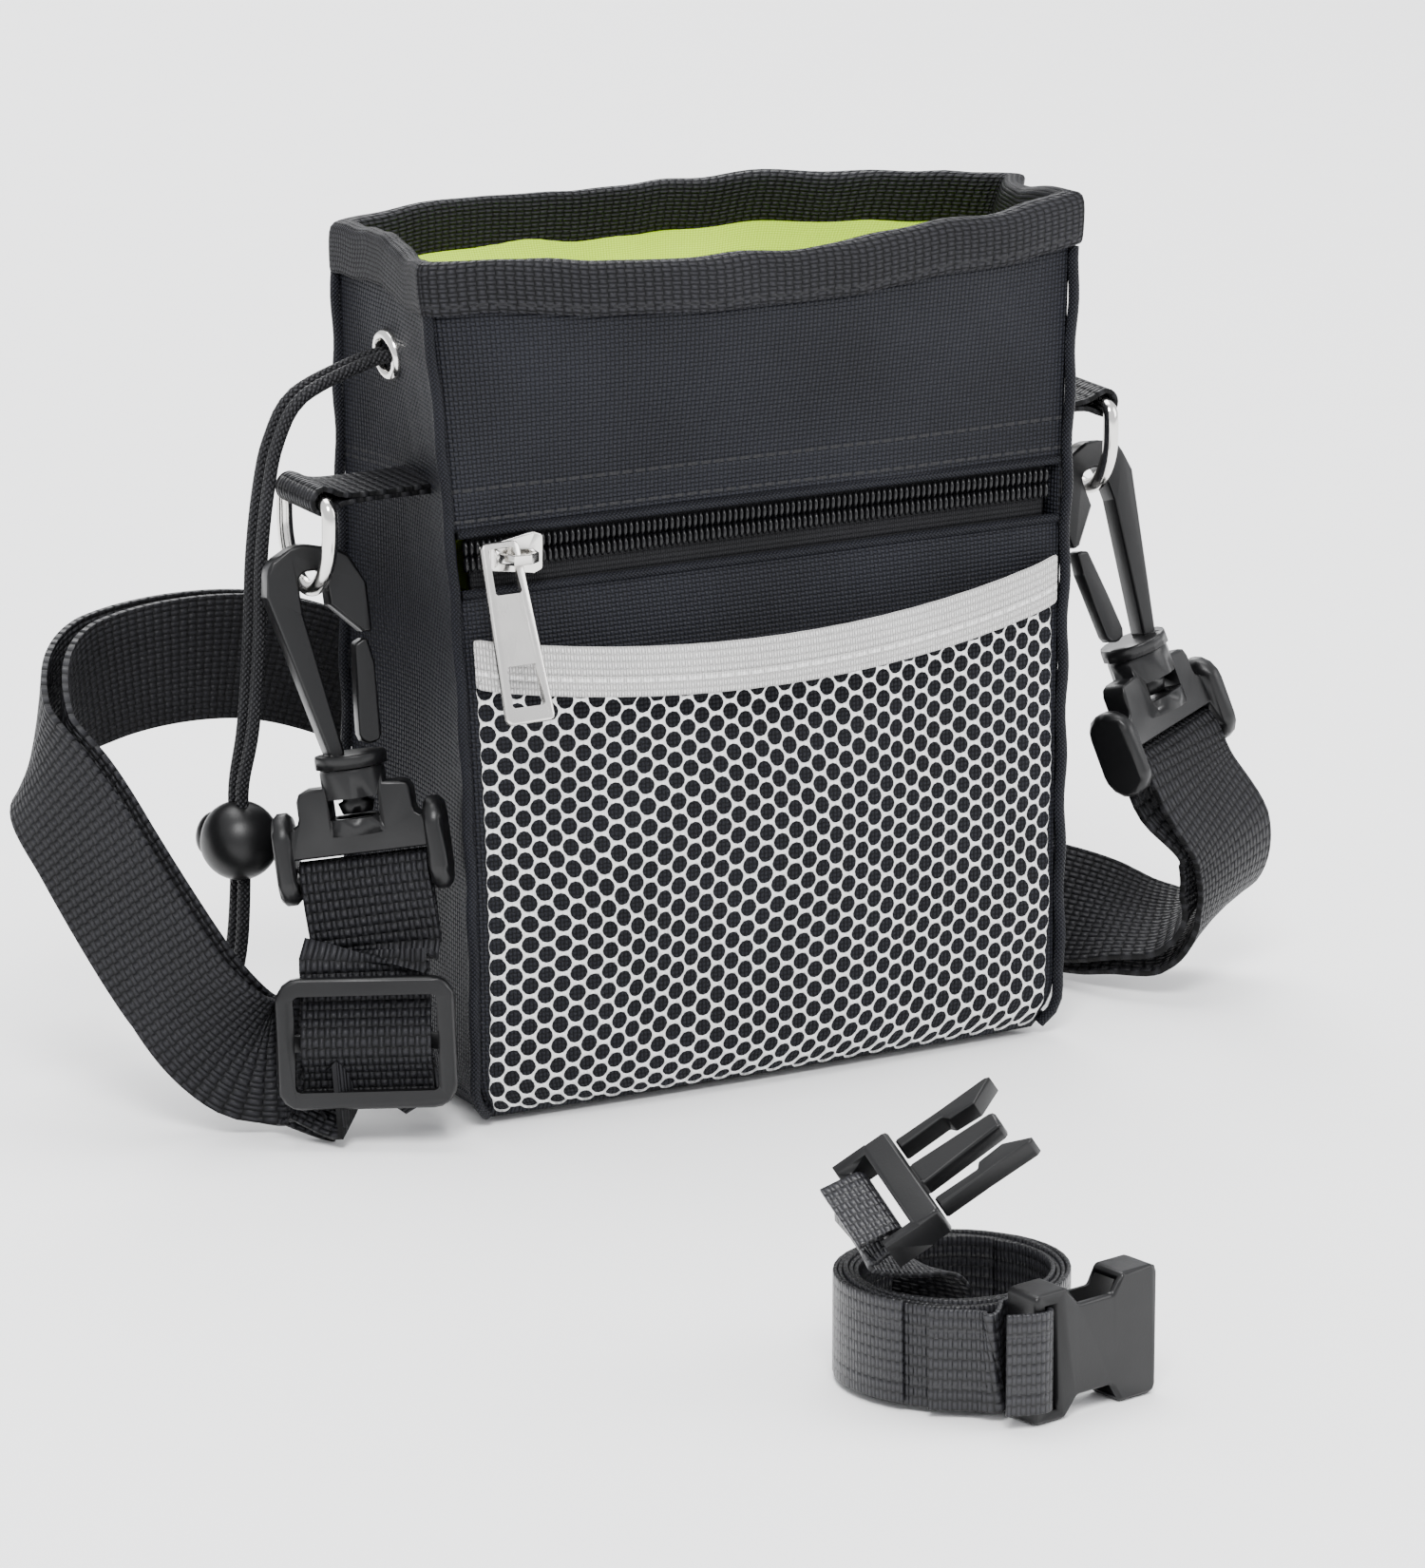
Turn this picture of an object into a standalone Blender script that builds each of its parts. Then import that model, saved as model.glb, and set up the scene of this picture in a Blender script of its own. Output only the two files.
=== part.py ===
"""A dog treat pouch: soft bag with a drawcord mouth, zip pocket, mesh pocket and clip-on shoulder strap.

+X runs along the front panel, the front faces -Y and +Z is up. The origin is the middle of the base.
"""

import math

import bmesh
import bpy
from mathutils import Matrix, Vector

GAP = 0.0003  # clearance between pieces that lie on each other

# Bag: corner places at the foot, the waist and the rim
POUCH_HEIGHT = 0.1705
WAIST_HEIGHT = 0.085
FOOT_RADIUS = 0.010
FRONT_LEFT = ((-0.066, -0.027), (-0.0675, -0.026), (-0.071, -0.017))
FRONT_RIGHT = ((0.066, -0.027), (0.0665, -0.026), (0.071, -0.022))
BACK_RIGHT = ((0.065, 0.027), (0.065, 0.026), (0.067, 0.010))
BACK_LEFT = ((-0.065, 0.027), (-0.066, 0.027), (-0.067, 0.027))
SIDES = {  # corners, then how far the side bows out at the foot, the waist, the zip and the rim
    "front": (FRONT_LEFT, FRONT_RIGHT, (0.001, 0.0022, 0.0, 0.0090)),
    "right": (FRONT_RIGHT, BACK_RIGHT, (0.0, -0.003, -0.005, -0.0080)),
    "back": (BACK_RIGHT, BACK_LEFT, (0.002, 0.005, 0.008, 0.0160)),
    "left": (BACK_LEFT, FRONT_LEFT, (0.0, -0.005, -0.005, -0.0020)),
}

# Fabric layers, measured inwards from the outer face
SHELL_THICK = 0.0011
LINING_THICK = 0.0006
LINING_DEEP = 0.0054  # where the channel and the zip pocket need room behind the shell
LINING_NEAR = SHELL_THICK + GAP
CHANNEL_HEIGHT = 0.147
CORNER_MARGIN = 0.0017  # side panels stop this far from a corner seam
BASE_THICK = 0.0015
POCKET_BACK_DEEP = 0.0042
POCKET_BACK_THICK = 0.0005
CHANNEL_HALF = 0.0057
ROWS = (0.0030, 0.0058, 0.0100, 0.0460, 0.0850, 0.1135, 0.1340, 0.1525, 0.160)  # heights where every layer bends

# Rim binding
BINDING_THICK = 0.0011

# Zip
ZIP_HEIGHT = 0.1135
ZIP_SLOT_UP = 0.0042
ZIP_SLOT_DOWN = 0.0070
COIL_TALL = 0.0022
COIL_THICK = 0.0021
COIL_PROUD = 0.0004
COIL_GAP = 0.0007  # half the space between the coils
TAPE_IN = SHELL_THICK + GAP
TAPE_THICK = 0.0005
TAPE_TALL = 0.0105
ZIP_MARGIN = 0.0020
SLIDER_X = -0.0560
SLIDER_LONG = 0.0115
SLIDER_TALL = 0.0084
SLIDER_PLATE = 0.0013
PULLER_LONG = 0.0350
PULLER_LEAN = math.radians(22)  # its free end rests outwards on the elastic

# Mesh pocket
POCKET_FOOT = 0.0030
POCKET_MARGIN = 0.0022
POCKET_BULGE = 0.0115
POCKET_GAPE = 0.0060  # how far the elastic stands off the panel
NET_THICK = 0.0008
BAND_TOP = (0.0985, 0.1000)  # at the left and right ends
BAND_SAG = 0.0062
BAND_TALL = 0.0100
BAND_THICK = 0.0010

# Webbing and fittings
WEB_WIDE = 0.025
WEB_THICK = 0.0012
RING_WIRE = 0.0016
RING_HALF = 0.0098
RING_DROP = 0.0185
TAB_WIDE = 0.0160
TAB_THICK = 0.0011
CORD_RADIUS = 0.0013
CORD_SPACING = 0.00150
EYELET_BORE = 0.0032
EYELET_RADIUS = 0.0050
EYELET_Y = 0.0075

MATERIALS = {  # colour, roughness, metallic
    "shell_fabric": ((0.020, 0.021, 0.026), 0.75, 0.0),
    "lining_fabric": ((0.45, 0.72, 0.05), 0.65, 0.0),
    "binding_tape": ((0.014, 0.014, 0.016), 0.8, 0.0),
    "webbing": ((0.014, 0.014, 0.016), 0.7, 0.0),
    "elastic": ((0.85, 0.85, 0.87), 0.7, 0.0),
    "mesh_net": ((0.80, 0.80, 0.80), 0.6, 0.0),
    "belt_webbing": ((0.016, 0.016, 0.017), 0.4, 0.0),
    "cord": ((0.012, 0.012, 0.013), 0.6, 0.0),
    "nickel": ((0.72, 0.70, 0.67), 0.22, 1.0),
    "plastic": ((0.016, 0.016, 0.017), 0.45, 0.0),
    "zip_nylon": ((0.012, 0.012, 0.013), 0.4, 0.0),
}


# ---- helpers

def clear_scene():
    for item in list(bpy.data.objects):
        bpy.data.objects.remove(item)


def material(name):
    found = bpy.data.materials.get(name)
    if found:
        return found
    colour, roughness, metallic = MATERIALS[name]
    made = bpy.data.materials.new(name)
    made.use_nodes = True
    shader = made.node_tree.nodes["Principled BSDF"]
    shader.inputs["Base Color"].default_value = (*colour, 1.0)
    shader.inputs["Roughness"].default_value = roughness
    shader.inputs["Metallic"].default_value = metallic
    made.diffuse_color = (*colour, 1.0)
    return made


def add_object(name, data, finish, parent=None):
    item = bpy.data.objects.new(name, data)
    bpy.context.scene.collection.objects.link(item)
    data.materials.append(material(finish))
    if parent:
        item.parent = parent
    return item


def loft(name, rings, finish, looped=False, parent=None):
    """A closed solid through rings of points. The ends are capped unless the rings form a loop."""
    shape = bmesh.new()
    grid = [[shape.verts.new(point) for point in ring] for ring in rings]
    count = len(grid[0])
    following = grid[1:] + grid[:1] if looped else grid[1:]
    for ring, after in zip(grid, following):
        for i in range(count):
            j = (i + 1) % count
            shape.faces.new((ring[i], ring[j], after[j], after[i]))
    if not looped:
        shape.faces.new(grid[0][::-1])
        shape.faces.new(grid[-1])
    bmesh.ops.recalc_face_normals(shape, faces=shape.faces)
    mesh = bpy.data.meshes.new(name)
    shape.to_mesh(mesh)
    shape.free()
    mesh.shade_smooth()
    mesh.set_sharp_from_angle(angle=math.radians(40))
    return add_object(name, mesh, finish, parent)


def frame_at(name, place, across, up):
    """An empty whose X points across, Y points up and Z faces out of that plane."""
    across = Vector(across).normalized()
    up = Vector(up)
    up = (up - across * up.dot(across)).normalized()
    out = across.cross(up)
    turn = Matrix((across, up, out)).transposed().to_4x4()
    empty = bpy.data.objects.new(name, None)
    bpy.context.scene.collection.objects.link(empty)
    empty.matrix_world = Matrix.Translation(Vector(place)) @ turn
    bpy.context.view_layer.update()
    return empty


def box_corners(low, high):
    """Two rings of four points, for a box between two corners."""
    return [
        [(x, y, z) for x, y in ((low[0], low[1]), (high[0], low[1]), (high[0], high[1]), (low[0], high[1]))]
        for z in (low[2], high[2])
    ]


def cutter(item):
    item.hide_render = True
    item.display_type = "WIRE"
    item.hide_set(True)
    return item


def combine(item, other, operation):
    """Boolean of item with other. The other shape is a helper and isn't a piece."""
    change = item.modifiers.new(operation.title(), "BOOLEAN")
    change.operation = operation
    change.object = other
    change.solver = "EXACT"
    change.use_self = item.name.endswith("_base")
    cutter(other)


def round_bar(name, start, end, radius, finish, parent=None, sides=16, ends=None):
    """A cylinder, or a stepped round bar when ends gives (share of length, radius) pairs."""
    start, end = Vector(start), Vector(end)
    along = (end - start).normalized()
    first = along.orthogonal().normalized()
    second = along.cross(first)
    steps = ends or ((0.0, radius), (1.0, radius))
    rings = []
    for share, size in steps:
        centre = start.lerp(end, share)
        rings.append([
            centre + (first * math.cos(a) + second * math.sin(a)) * size
            for a in (2 * math.pi * k / sides for k in range(sides))
        ])
    return loft(name, rings, finish, parent=parent)


def rounded(points, radius, steps=3):
    """A closed outline with its corners rounded. A point may carry its own radius as a third value."""
    made = []
    count = len(points)
    for i, point in enumerate(points):
        size = point[2] if len(point) > 2 else radius
        here = Vector(point[:2])
        back = Vector(points[i - 1][:2]) - here
        ahead = Vector(points[(i + 1) % count][:2]) - here
        if size == 0:
            made.append(here)
            continue
        half = back.angle(ahead) / 2
        reach = min(size / math.tan(half), back.length * 0.49, ahead.length * 0.49)
        size = reach * math.tan(half)
        first = here + back.normalized() * reach
        last = here + ahead.normalized() * reach
        centre = here + (back.normalized() + ahead.normalized()).normalized() * (size / math.sin(half))
        for k in range(steps + 1):
            share = math.tan((k / steps - 0.5) * (math.pi - 2 * half) / 2) / math.tan((math.pi - 2 * half) / 4)
            spoke = (first - centre).lerp(last - centre, 0.5 + share / 2)
            made.append(centre + spoke.normalized() * size)
    return made


def drawn_in(outline, inset):
    """The outline moved inwards by that much, with its corners mitred. It runs anticlockwise."""
    made = []
    for i, point in enumerate(outline):
        here = Vector(point[:2])
        into = (here - Vector(outline[i - 1][:2])).normalized()
        out = (Vector(outline[(i + 1) % len(outline)][:2]) - here).normalized()
        left_in, left_out = Vector((-into.y, into.x)), Vector((-out.y, out.x))
        made.append(here + (left_in + left_out) / (1 + left_in.dot(left_out)) * inset)
    return made


def anticlockwise(outline):
    twice = sum(a[0] * b[1] - b[0] * a[1] for a, b in zip(outline, list(outline[1:]) + [outline[0]]))
    return list(outline) if twice > 0 else list(outline)[::-1]


def plate(name, outlines, thick, finish, parent=None, bevel=0.0, middle=0.0):
    """A flat plate in its parent's XY plane. The first outline is its edge and the others are holes."""
    edge, half = anticlockwise(outlines[0]), thick / 2
    heights = [(-half, bevel), (bevel - half, 0.0), (half - bevel, 0.0), (half, bevel)] if bevel else \
        [(-half, 0.0), (half, 0.0)]
    item = loft(name, [[(p[0], p[1], middle + z) for p in drawn_in(edge, inset)] for z, inset in heights], finish,
                parent=parent)
    for number, hole in enumerate(outlines[1:]):
        tool = loft(f"{name}_hole_{number}", [[(p[0], p[1], middle + z) for p in hole] for z in (-thick, thick)], finish,
                    parent=parent)
        combine(item, tool, "DIFFERENCE")
    return item


def catmull(points, share, i):
    """A point on the smooth curve between points[i] and points[i + 1]."""
    before = points[max(i - 1, 0)]
    here, after = points[i], points[i + 1]
    beyond = points[min(i + 2, len(points) - 1)]
    s = share
    return 0.5 * (
        2 * here + (after - before) * s + (2 * before - 5 * here + 4 * after - beyond) * s * s
        + (3 * here - before - 3 * after + beyond) * s * s * s
    )


def smooth_route(points, step):
    """The points joined by a smooth curve, with a point about every step."""
    points = [Vector(p) for p in points]
    made = []
    for i in range(len(points) - 1):
        count = max(1, round((points[i + 1] - points[i]).length / step))
        made += [catmull(points, k / count, i) for k in range(count)]
    made.append(points[-1])
    return made


def tube(name, points, radius, finish, parent=None, sides_level=2, closed=False):
    """A cord or wire: a curve with a round bevel and filled caps."""
    curve = bpy.data.curves.new(name, "CURVE")
    curve.dimensions = "3D"
    curve.bevel_depth = radius
    curve.bevel_resolution = sides_level
    curve.use_fill_caps = True
    spline = curve.splines.new("POLY")
    spline.points.add(len(points) - 1)
    for target, point in zip(spline.points, points):
        target.co = (*point, 1)
    spline.use_cyclic_u = closed
    return add_object(name, curve, finish, parent)


# ---- the bag's surface

def blended(height, values):
    """The value at a height, eased between those at the foot, the waist, the zip and the rim."""
    places = (0.0, WAIST_HEIGHT, ZIP_HEIGHT, POUCH_HEIGHT)
    for low, high, start, end in zip(places, places[1:], values, values[1:]):
        if height <= high or high == POUCH_HEIGHT:
            share = min(1.0, max(0.0, (height - low) / (high - low)))
            return start + (end - start) * share * share * (3 - 2 * share)


def through(height, low, middle, high):
    """The value at a height, on a parabola through its values at the foot, the waist and the rim."""
    a, b, c = 0.0, WAIST_HEIGHT, POUCH_HEIGHT
    z = height
    return (
        low * (z - b) * (z - c) / ((a - b) * (a - c))
        + middle * (z - a) * (z - c) / ((b - a) * (b - c))
        + high * (z - a) * (z - b) / ((c - a) * (c - b))
    )


def foot_inset(height):
    """How far the bag draws in near the base, where its lower edge is rounded."""
    short = max(0.0, FOOT_RADIUS - height)
    return FOOT_RADIUS - math.sqrt(FOOT_RADIUS ** 2 - short ** 2)


def corner(levels, height):
    x = through(height, *(level[0] for level in levels))
    y = through(height, *(level[1] for level in levels))
    inset = foot_inset(height)
    return Vector((x - math.copysign(inset, x), y - math.copysign(0.5 * inset, y)))


def side_length(side, height):
    start, end, _ = SIDES[side]
    return (corner(end, height) - corner(start, height)).length


def outer_point(side, share, height):
    start, end, bows = SIDES[side]
    first, last = corner(start, height), corner(end, height)
    along = last - first
    outward = Vector((along.y, -along.x)).normalized()
    flat = first.lerp(last, share) + outward * blended(height, bows) * 4 * share * (1 - share)
    return Vector((flat.x, flat.y, height))


def outward(side, share, height):
    """The surface's outward normal in plan."""
    along = outer_point(side, share + 0.01, height) - outer_point(side, share - 0.01, height)
    return Vector((along.y, -along.x, 0)).normalized()


def skin_point(side, share, height, depth):
    return outer_point(side, share, height) - outward(side, share, height) * depth


def sheet(name, side, low, high, finish, depth=0.0, thick=SHELL_THICK, columns=8, rows=None, margin=CORNER_MARGIN,
          proud=None):
    """A thin solid that follows one side of the bag, between the heights low(share) and high(share).

    margin stops it short of both corners and proud(share, rise) pushes it outwards. Without rows, it bends at the
    heights that all the layers share."""
    made = []
    foot, top = low(0.5), high(0.5)
    rises = [k / rows for k in range(rows + 1)] if rows else \
        [0.0] + [(z - foot) / (top - foot) for z in ROWS if foot + 0.0005 < z < top - 0.0005] + [1.0]
    for rise in rises:
        outer, inner = [], []
        for k in range(columns + 1):
            middle = low(0.5) + (high(0.5) - low(0.5)) * rise
            first = margin / side_length(side, middle)
            share = first + (1 - 2 * first) * k / columns
            height = low(share) + (high(share) - low(share)) * rise
            lift = proud(k / columns, rise) if proud else 0.0
            outer.append(skin_point(side, share, height, depth - lift))
            inner.append(skin_point(side, share, height, depth + thick - lift))
        made.append(outer + inner[::-1])
    return loft(name, made, finish)


def level(height):
    return lambda share: height


def meeting(first, second, height, depth):
    """The shares at which two neighbouring sides, both offset inwards, meet at their corner."""
    s, t, step = 1 - depth / side_length(first, height), depth / side_length(second, height), 0.001
    for _ in range(8):
        here, there = skin_point(first, s, height, depth), skin_point(second, t, height, depth)
        miss = there - here
        along = (skin_point(first, s + step, height, depth) - here) / step
        beyond = (skin_point(second, t + step, height, depth) - there) / step
        area = along.x * -beyond.y + beyond.x * along.y
        s += (miss.x * -beyond.y + beyond.x * miss.y) / area
        t += (along.x * miss.y - along.y * miss.x) / area
    return s, t


def loop_at(height, depth, per_side=8):
    """A closed loop round the whole bag, offset inwards, with its corners mitred."""
    names = list(SIDES)
    corners = [meeting(names[i - 1], names[i], height, depth) for i in range(len(names))]
    made = []
    for i, side in enumerate(names):
        first, last = corners[i][1], corners[(i + 1) % len(names)][0]
        made += [skin_point(side, first + (last - first) * k / per_side, height, depth) for k in range(per_side)]
    return made


def share_at(side, value, height, axis=1):
    """The share along a side at which its X (axis 0) or Y (axis 1) has that value."""
    low, high = 0.0, 1.0
    rising = outer_point(side, 1.0, height)[axis] > outer_point(side, 0.0, height)[axis]
    for _ in range(30):
        middle = (low + high) / 2
        if (outer_point(side, middle, height)[axis] < value) == rising:
            low = middle
        else:
            high = middle
    return low


# ---- the bag

def make_panels():
    top = POUCH_HEIGHT - GAP - BINDING_THICK
    foot = BASE_THICK + GAP
    sheet("back_panel", "back", level(foot), level(top), "shell_fabric")
    sheet("gusset_right", "right", level(foot), level(top), "shell_fabric")
    gusset = sheet("gusset_left", "left", level(foot), level(top), "shell_fabric")
    eyelet_place, eyelet_out = eyelet_spot()
    hole = round_bar("eyelet_hole", eyelet_place - eyelet_out * 0.01, eyelet_place + eyelet_out * 0.01,
                     EYELET_BORE + 0.0009, "shell_fabric", sides=24)
    combine(gusset, hole, "DIFFERENCE")
    slot_low, slot_high = ZIP_HEIGHT - ZIP_SLOT_DOWN, ZIP_HEIGHT + ZIP_SLOT_UP
    sheet("front_upper_panel", "front", level(slot_high), level(top), "shell_fabric")
    sheet("front_lower_panel", "front", level(foot), level(slot_low), "shell_fabric")
    loft("base_panel", [loop_at(z, 0.0) for z in (0.0, 0.0007, BASE_THICK)], "shell_fabric")


def make_lining():
    """A closed bag inside the shell, with room for the drawcord channel and the zip pocket."""
    near, deep, thick = SHELL_THICK + GAP, LINING_DEEP, LINING_THICK
    outside = [(POUCH_HEIGHT - GAP - BINDING_THICK, near), (ROWS[-1], near)]
    outside += [(z, deep) for z in ROWS[-2:1:-1]] + [(0.0065, deep)]
    inside = [(z, depth + thick) for z, depth in outside[:-1]] + [(outside[-1][0] + thick, deep + thick)]
    loft("lining", [loop_at(z, d) for z, d in inside[::-1] + outside], "lining_fabric")


def make_binding():
    """Tape folded over the rim: an inverted U."""
    inner = SHELL_THICK + 2 * GAP + LINING_THICK
    foot, under = ROWS[-1], POUCH_HEIGHT - BINDING_THICK
    section = [(-GAP, foot), (-GAP - BINDING_THICK, foot), (-GAP - BINDING_THICK, under), (-GAP, POUCH_HEIGHT),
               (inner, POUCH_HEIGHT), (inner + BINDING_THICK, under), (inner + BINDING_THICK, foot), (inner, foot),
               (inner, under), (-GAP, under)]
    loft("rim_binding", [loop_at(z, d) for d, z in section], "binding_tape", looped=True)


def eyelet_spot():
    """The middle of the eyelet on the gusset's face, and the outward direction there."""
    share = share_at("left", EYELET_Y, CHANNEL_HEIGHT)
    low, high = outer_point("left", share, ROWS[-3]), outer_point("left", share, ROWS[-2])
    place = low.lerp(high, (CHANNEL_HEIGHT - ROWS[-3]) / (ROWS[-2] - ROWS[-3]))
    flat = outward("left", share, CHANNEL_HEIGHT)
    rise = (high - low).normalized()
    return place, (flat - rise * flat.dot(rise)).normalized()


def make_eyelet():
    place, out = eyelet_spot()
    across = Vector((0, 0, 1)).cross(out).normalized()
    profile = [(EYELET_BORE, -0.0016), (EYELET_RADIUS, -0.0016), (EYELET_RADIUS, -SHELL_THICK - GAP),
               (EYELET_BORE + 0.0006, -SHELL_THICK - GAP), (EYELET_BORE + 0.0006, GAP), (EYELET_RADIUS, GAP),
               (EYELET_RADIUS - 0.0006, 0.0010), (EYELET_BORE + 0.0004, 0.0011), (EYELET_BORE, 0.0006)]
    rings = []
    for k in range(20):
        spoke = across * math.cos(2 * math.pi * k / 20) + out.cross(across) * math.sin(2 * math.pi * k / 20)
        rings.append([place + spoke * r + out * d for r, d in profile])
    loft("eyelet", rings, "nickel", looped=True)


def make_zip():
    low, high = ZIP_HEIGHT - COIL_GAP, ZIP_HEIGHT + COIL_GAP
    sheet("zip_tape_upper", "front", level(high + 0.0004), level(high + TAPE_TALL), "zip_nylon", depth=TAPE_IN,
          thick=TAPE_THICK, rows=1, margin=0.0040)
    sheet("zip_tape_lower", "front", level(low - TAPE_TALL), level(low - 0.0004), "zip_nylon", depth=TAPE_IN,
          thick=TAPE_THICK, rows=1, margin=0.0040)
    coil_depth = TAPE_IN - GAP - COIL_THICK
    sheet("zip_coil_upper", "front", level(high), level(high + COIL_TALL), "zip_nylon", depth=coil_depth,
          thick=COIL_THICK, rows=1, margin=ZIP_MARGIN)
    sheet("zip_coil_lower", "front", level(low - COIL_TALL), level(low), "zip_nylon", depth=coil_depth,
          thick=COIL_THICK, rows=1, margin=ZIP_MARGIN)
    sheet("zip_pocket_back", "front", level(0.028), level(0.130), "lining_fabric", depth=POCKET_BACK_DEEP,
          thick=POCKET_BACK_THICK, margin=0.0050)


def slider_frame():
    """X along the zip, Y up and Z out of the panel, at the slider's middle on the panel's face."""
    share = share_at("front", SLIDER_X, ZIP_HEIGHT, 0)
    start, end = outer_point("front", 0.02, ZIP_HEIGHT), outer_point("front", 0.98, ZIP_HEIGHT)
    return frame_at("slider_frame", outer_point("front", share, ZIP_HEIGHT), end - start, (0, 0, 1))


def make_slider():
    frame = slider_frame()
    front = COIL_THICK - TAPE_IN + 2 * GAP + 0.0003
    half, tall = SLIDER_LONG / 2, SLIDER_TALL / 2
    nose = [(-half, 0.62 * tall), (-half, -0.62 * tall), (half - 0.002, -tall), (half, -tall * 0.8), (half, tall * 0.8),
            (half - 0.002, tall)]
    slider = plate("zip_slider", [rounded(nose, 0.0008, 2)], SLIDER_PLATE, "nickel", frame,
                   0.0003, front + SLIDER_PLATE / 2)
    back = -TAPE_IN - TAPE_THICK - GAP - 0.0004
    rear = plate("slider_rear", [rounded([(x * 0.95, y * 0.8) for x, y in nose], 0.0006, 2)], 0.0008, "nickel", frame,
                 0.0, back - 0.0004)
    neck = loft("slider_neck", box_corners((-half + 0.0008, -COIL_GAP + 0.00035, back - 0.0002),
                                           (-half + 0.0036, COIL_GAP - 0.00035, front + 0.0002)), "nickel", parent=frame)
    top = front + SLIDER_PLATE
    bail_points = [(-0.0040, top - 0.0008), (-0.0043, top + 0.0018), (-0.0028, top + 0.0045), (0.0008, top + 0.0048),
                   (0.0030, top + 0.0035), (0.0036, top - 0.0008)]
    wide = 0.0009
    arch = [(x, -wide, z) for x, z in bail_points] + [(x * 0.72, -wide, z - 0.0011) for x, z in bail_points[::-1]]
    bail = loft("slider_bail", [arch, [(x, wide, z) for x, _, z in arch]], "nickel", parent=frame)
    combine(slider, rear, "UNION")
    combine(slider, neck, "UNION")
    combine(slider, bail, "UNION")
    return frame, top


def make_puller(frame, top):
    """A flat tapered pull with a square eye at each end, hanging from the bail."""
    pivot = bpy.data.objects.new("puller_pivot", None)
    bpy.context.scene.collection.objects.link(pivot)
    pivot.parent = frame
    pivot.location = (-0.0043, 0.0, top + 0.0020)
    pivot.rotation_euler = (-PULLER_LEAN, 0, 0)
    long, narrow, wide = PULLER_LONG, 0.0040, 0.0052
    edge = [(-narrow, 0.0034), (-wide, 0.0034 - long), (wide, 0.0034 - long), (narrow, 0.0034)]
    eye = [(-0.0027, 0.0022), (-0.0028, -0.0068), (0.0028, -0.0068), (0.0027, 0.0022)]
    foot = [(-0.0033, -0.0205), (-0.0035, -0.0285), (0.0035, -0.0285), (0.0033, -0.0205)]
    plate("zip_puller", [rounded(edge, 0.0012, 2), rounded(eye, 0.0004, 1), rounded(foot, 0.0004, 1)], 0.0014, "nickel",
          pivot, 0.0003)


def bulge(share, rise):
    """How far the net stands off the panel: slack low down, held in at the sides and the foot."""
    across = math.sin(math.pi * share) ** 0.55 if 0 < share < 1 else 0.0
    upward = math.sin(math.pi * min(1.0, rise * 1.25 + 0.02) * 0.5) ** 0.6
    slack = POCKET_GAPE + (POCKET_BULGE - POCKET_GAPE) * (1 - rise) ** 0.7
    return across * upward * slack


def band_top(share):
    left, right = BAND_TOP
    return left + (right - left) * share - BAND_SAG * 4 * share * (1 - share)


def make_pocket():
    sheet("elastic_band", "front", lambda s: band_top(s) - BAND_TALL, band_top, "elastic", depth=-GAP - 0.0003 - BAND_THICK,
          thick=BAND_THICK, columns=16, rows=1, margin=POCKET_MARGIN, proud=lambda s, rise: bulge(s, 1.0))
    sheet("mesh_pocket", "front", level(POCKET_FOOT), lambda s: band_top(s) - BAND_TALL - 3 * GAP, "mesh_net",
          depth=-GAP - 0.0003 - NET_THICK, thick=NET_THICK, columns=16, rows=9, margin=POCKET_MARGIN, proud=bulge)


# ---- tabs, rings and hooks

TAB_HEIGHT = 0.1235
TAB_REACH = 0.0872
RING_FOOT = TAB_HEIGHT - RING_DROP


def make_tab(name, side):
    """Webbing folded round the ring's straight bar, its two layers sewn to the gusset."""
    out = -1 if side == "left" else 1
    edges = [share_at(side, y, TAB_HEIGHT) for y in (-TAB_WIDE / 2, TAB_WIDE / 2)]
    wall = max(abs(outer_point(side, share, TAB_HEIGHT).x) for share in edges) + 3 * GAP
    bore = RING_WIRE + GAP
    shell = bore + TAB_THICK
    start = -(TAB_REACH - wall)
    frame = frame_at(name + "_frame", (out * TAB_REACH, 0, TAB_HEIGHT), (out, 0, 0), (0, 0, 1))
    fold = math.radians(50)
    bend = [(math.cos(a) * shell, math.sin(a) * shell)
            for a in (math.pi - fold - k / 14 * 2 * (math.pi - fold) for k in range(15))]
    outline = [(start, TAB_THICK)] + [(-0.006, TAB_THICK)] + bend + [(-0.006, -TAB_THICK), (start, -TAB_THICK)]
    hole = [(math.cos(2 * math.pi * k / 16) * bore, math.sin(2 * math.pi * k / 16) * bore) for k in range(16)]
    plate(name, [outline, hole], TAB_WIDE, "webbing", frame)


def make_ring(name, out):
    """A welded wire D-ring, its straight bar on the empty that it swings about."""
    pivot = frame_at(name + "_pivot", (out * TAB_REACH, 0, TAB_HEIGHT), (0, 1, 0), (0, 0, 1))
    straight = 0.006
    path = [(RING_HALF * (1 - 2 * k / 5), 0.0, 0.0) for k in range(6)]
    path += [(-RING_HALF, -straight * k / 2, 0.0) for k in (1,)]
    turn = 12
    for k in range(turn + 1):
        angle = math.pi * k / turn
        path.append((-math.cos(angle) * RING_HALF, -straight - math.sin(angle) * (RING_DROP - straight), 0.0))
    path.append((RING_HALF, -straight / 2, 0.0))
    item = tube(name, path, RING_WIRE, "nickel", pivot, 2, closed=True)
    item.data.use_fill_caps = False


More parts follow.
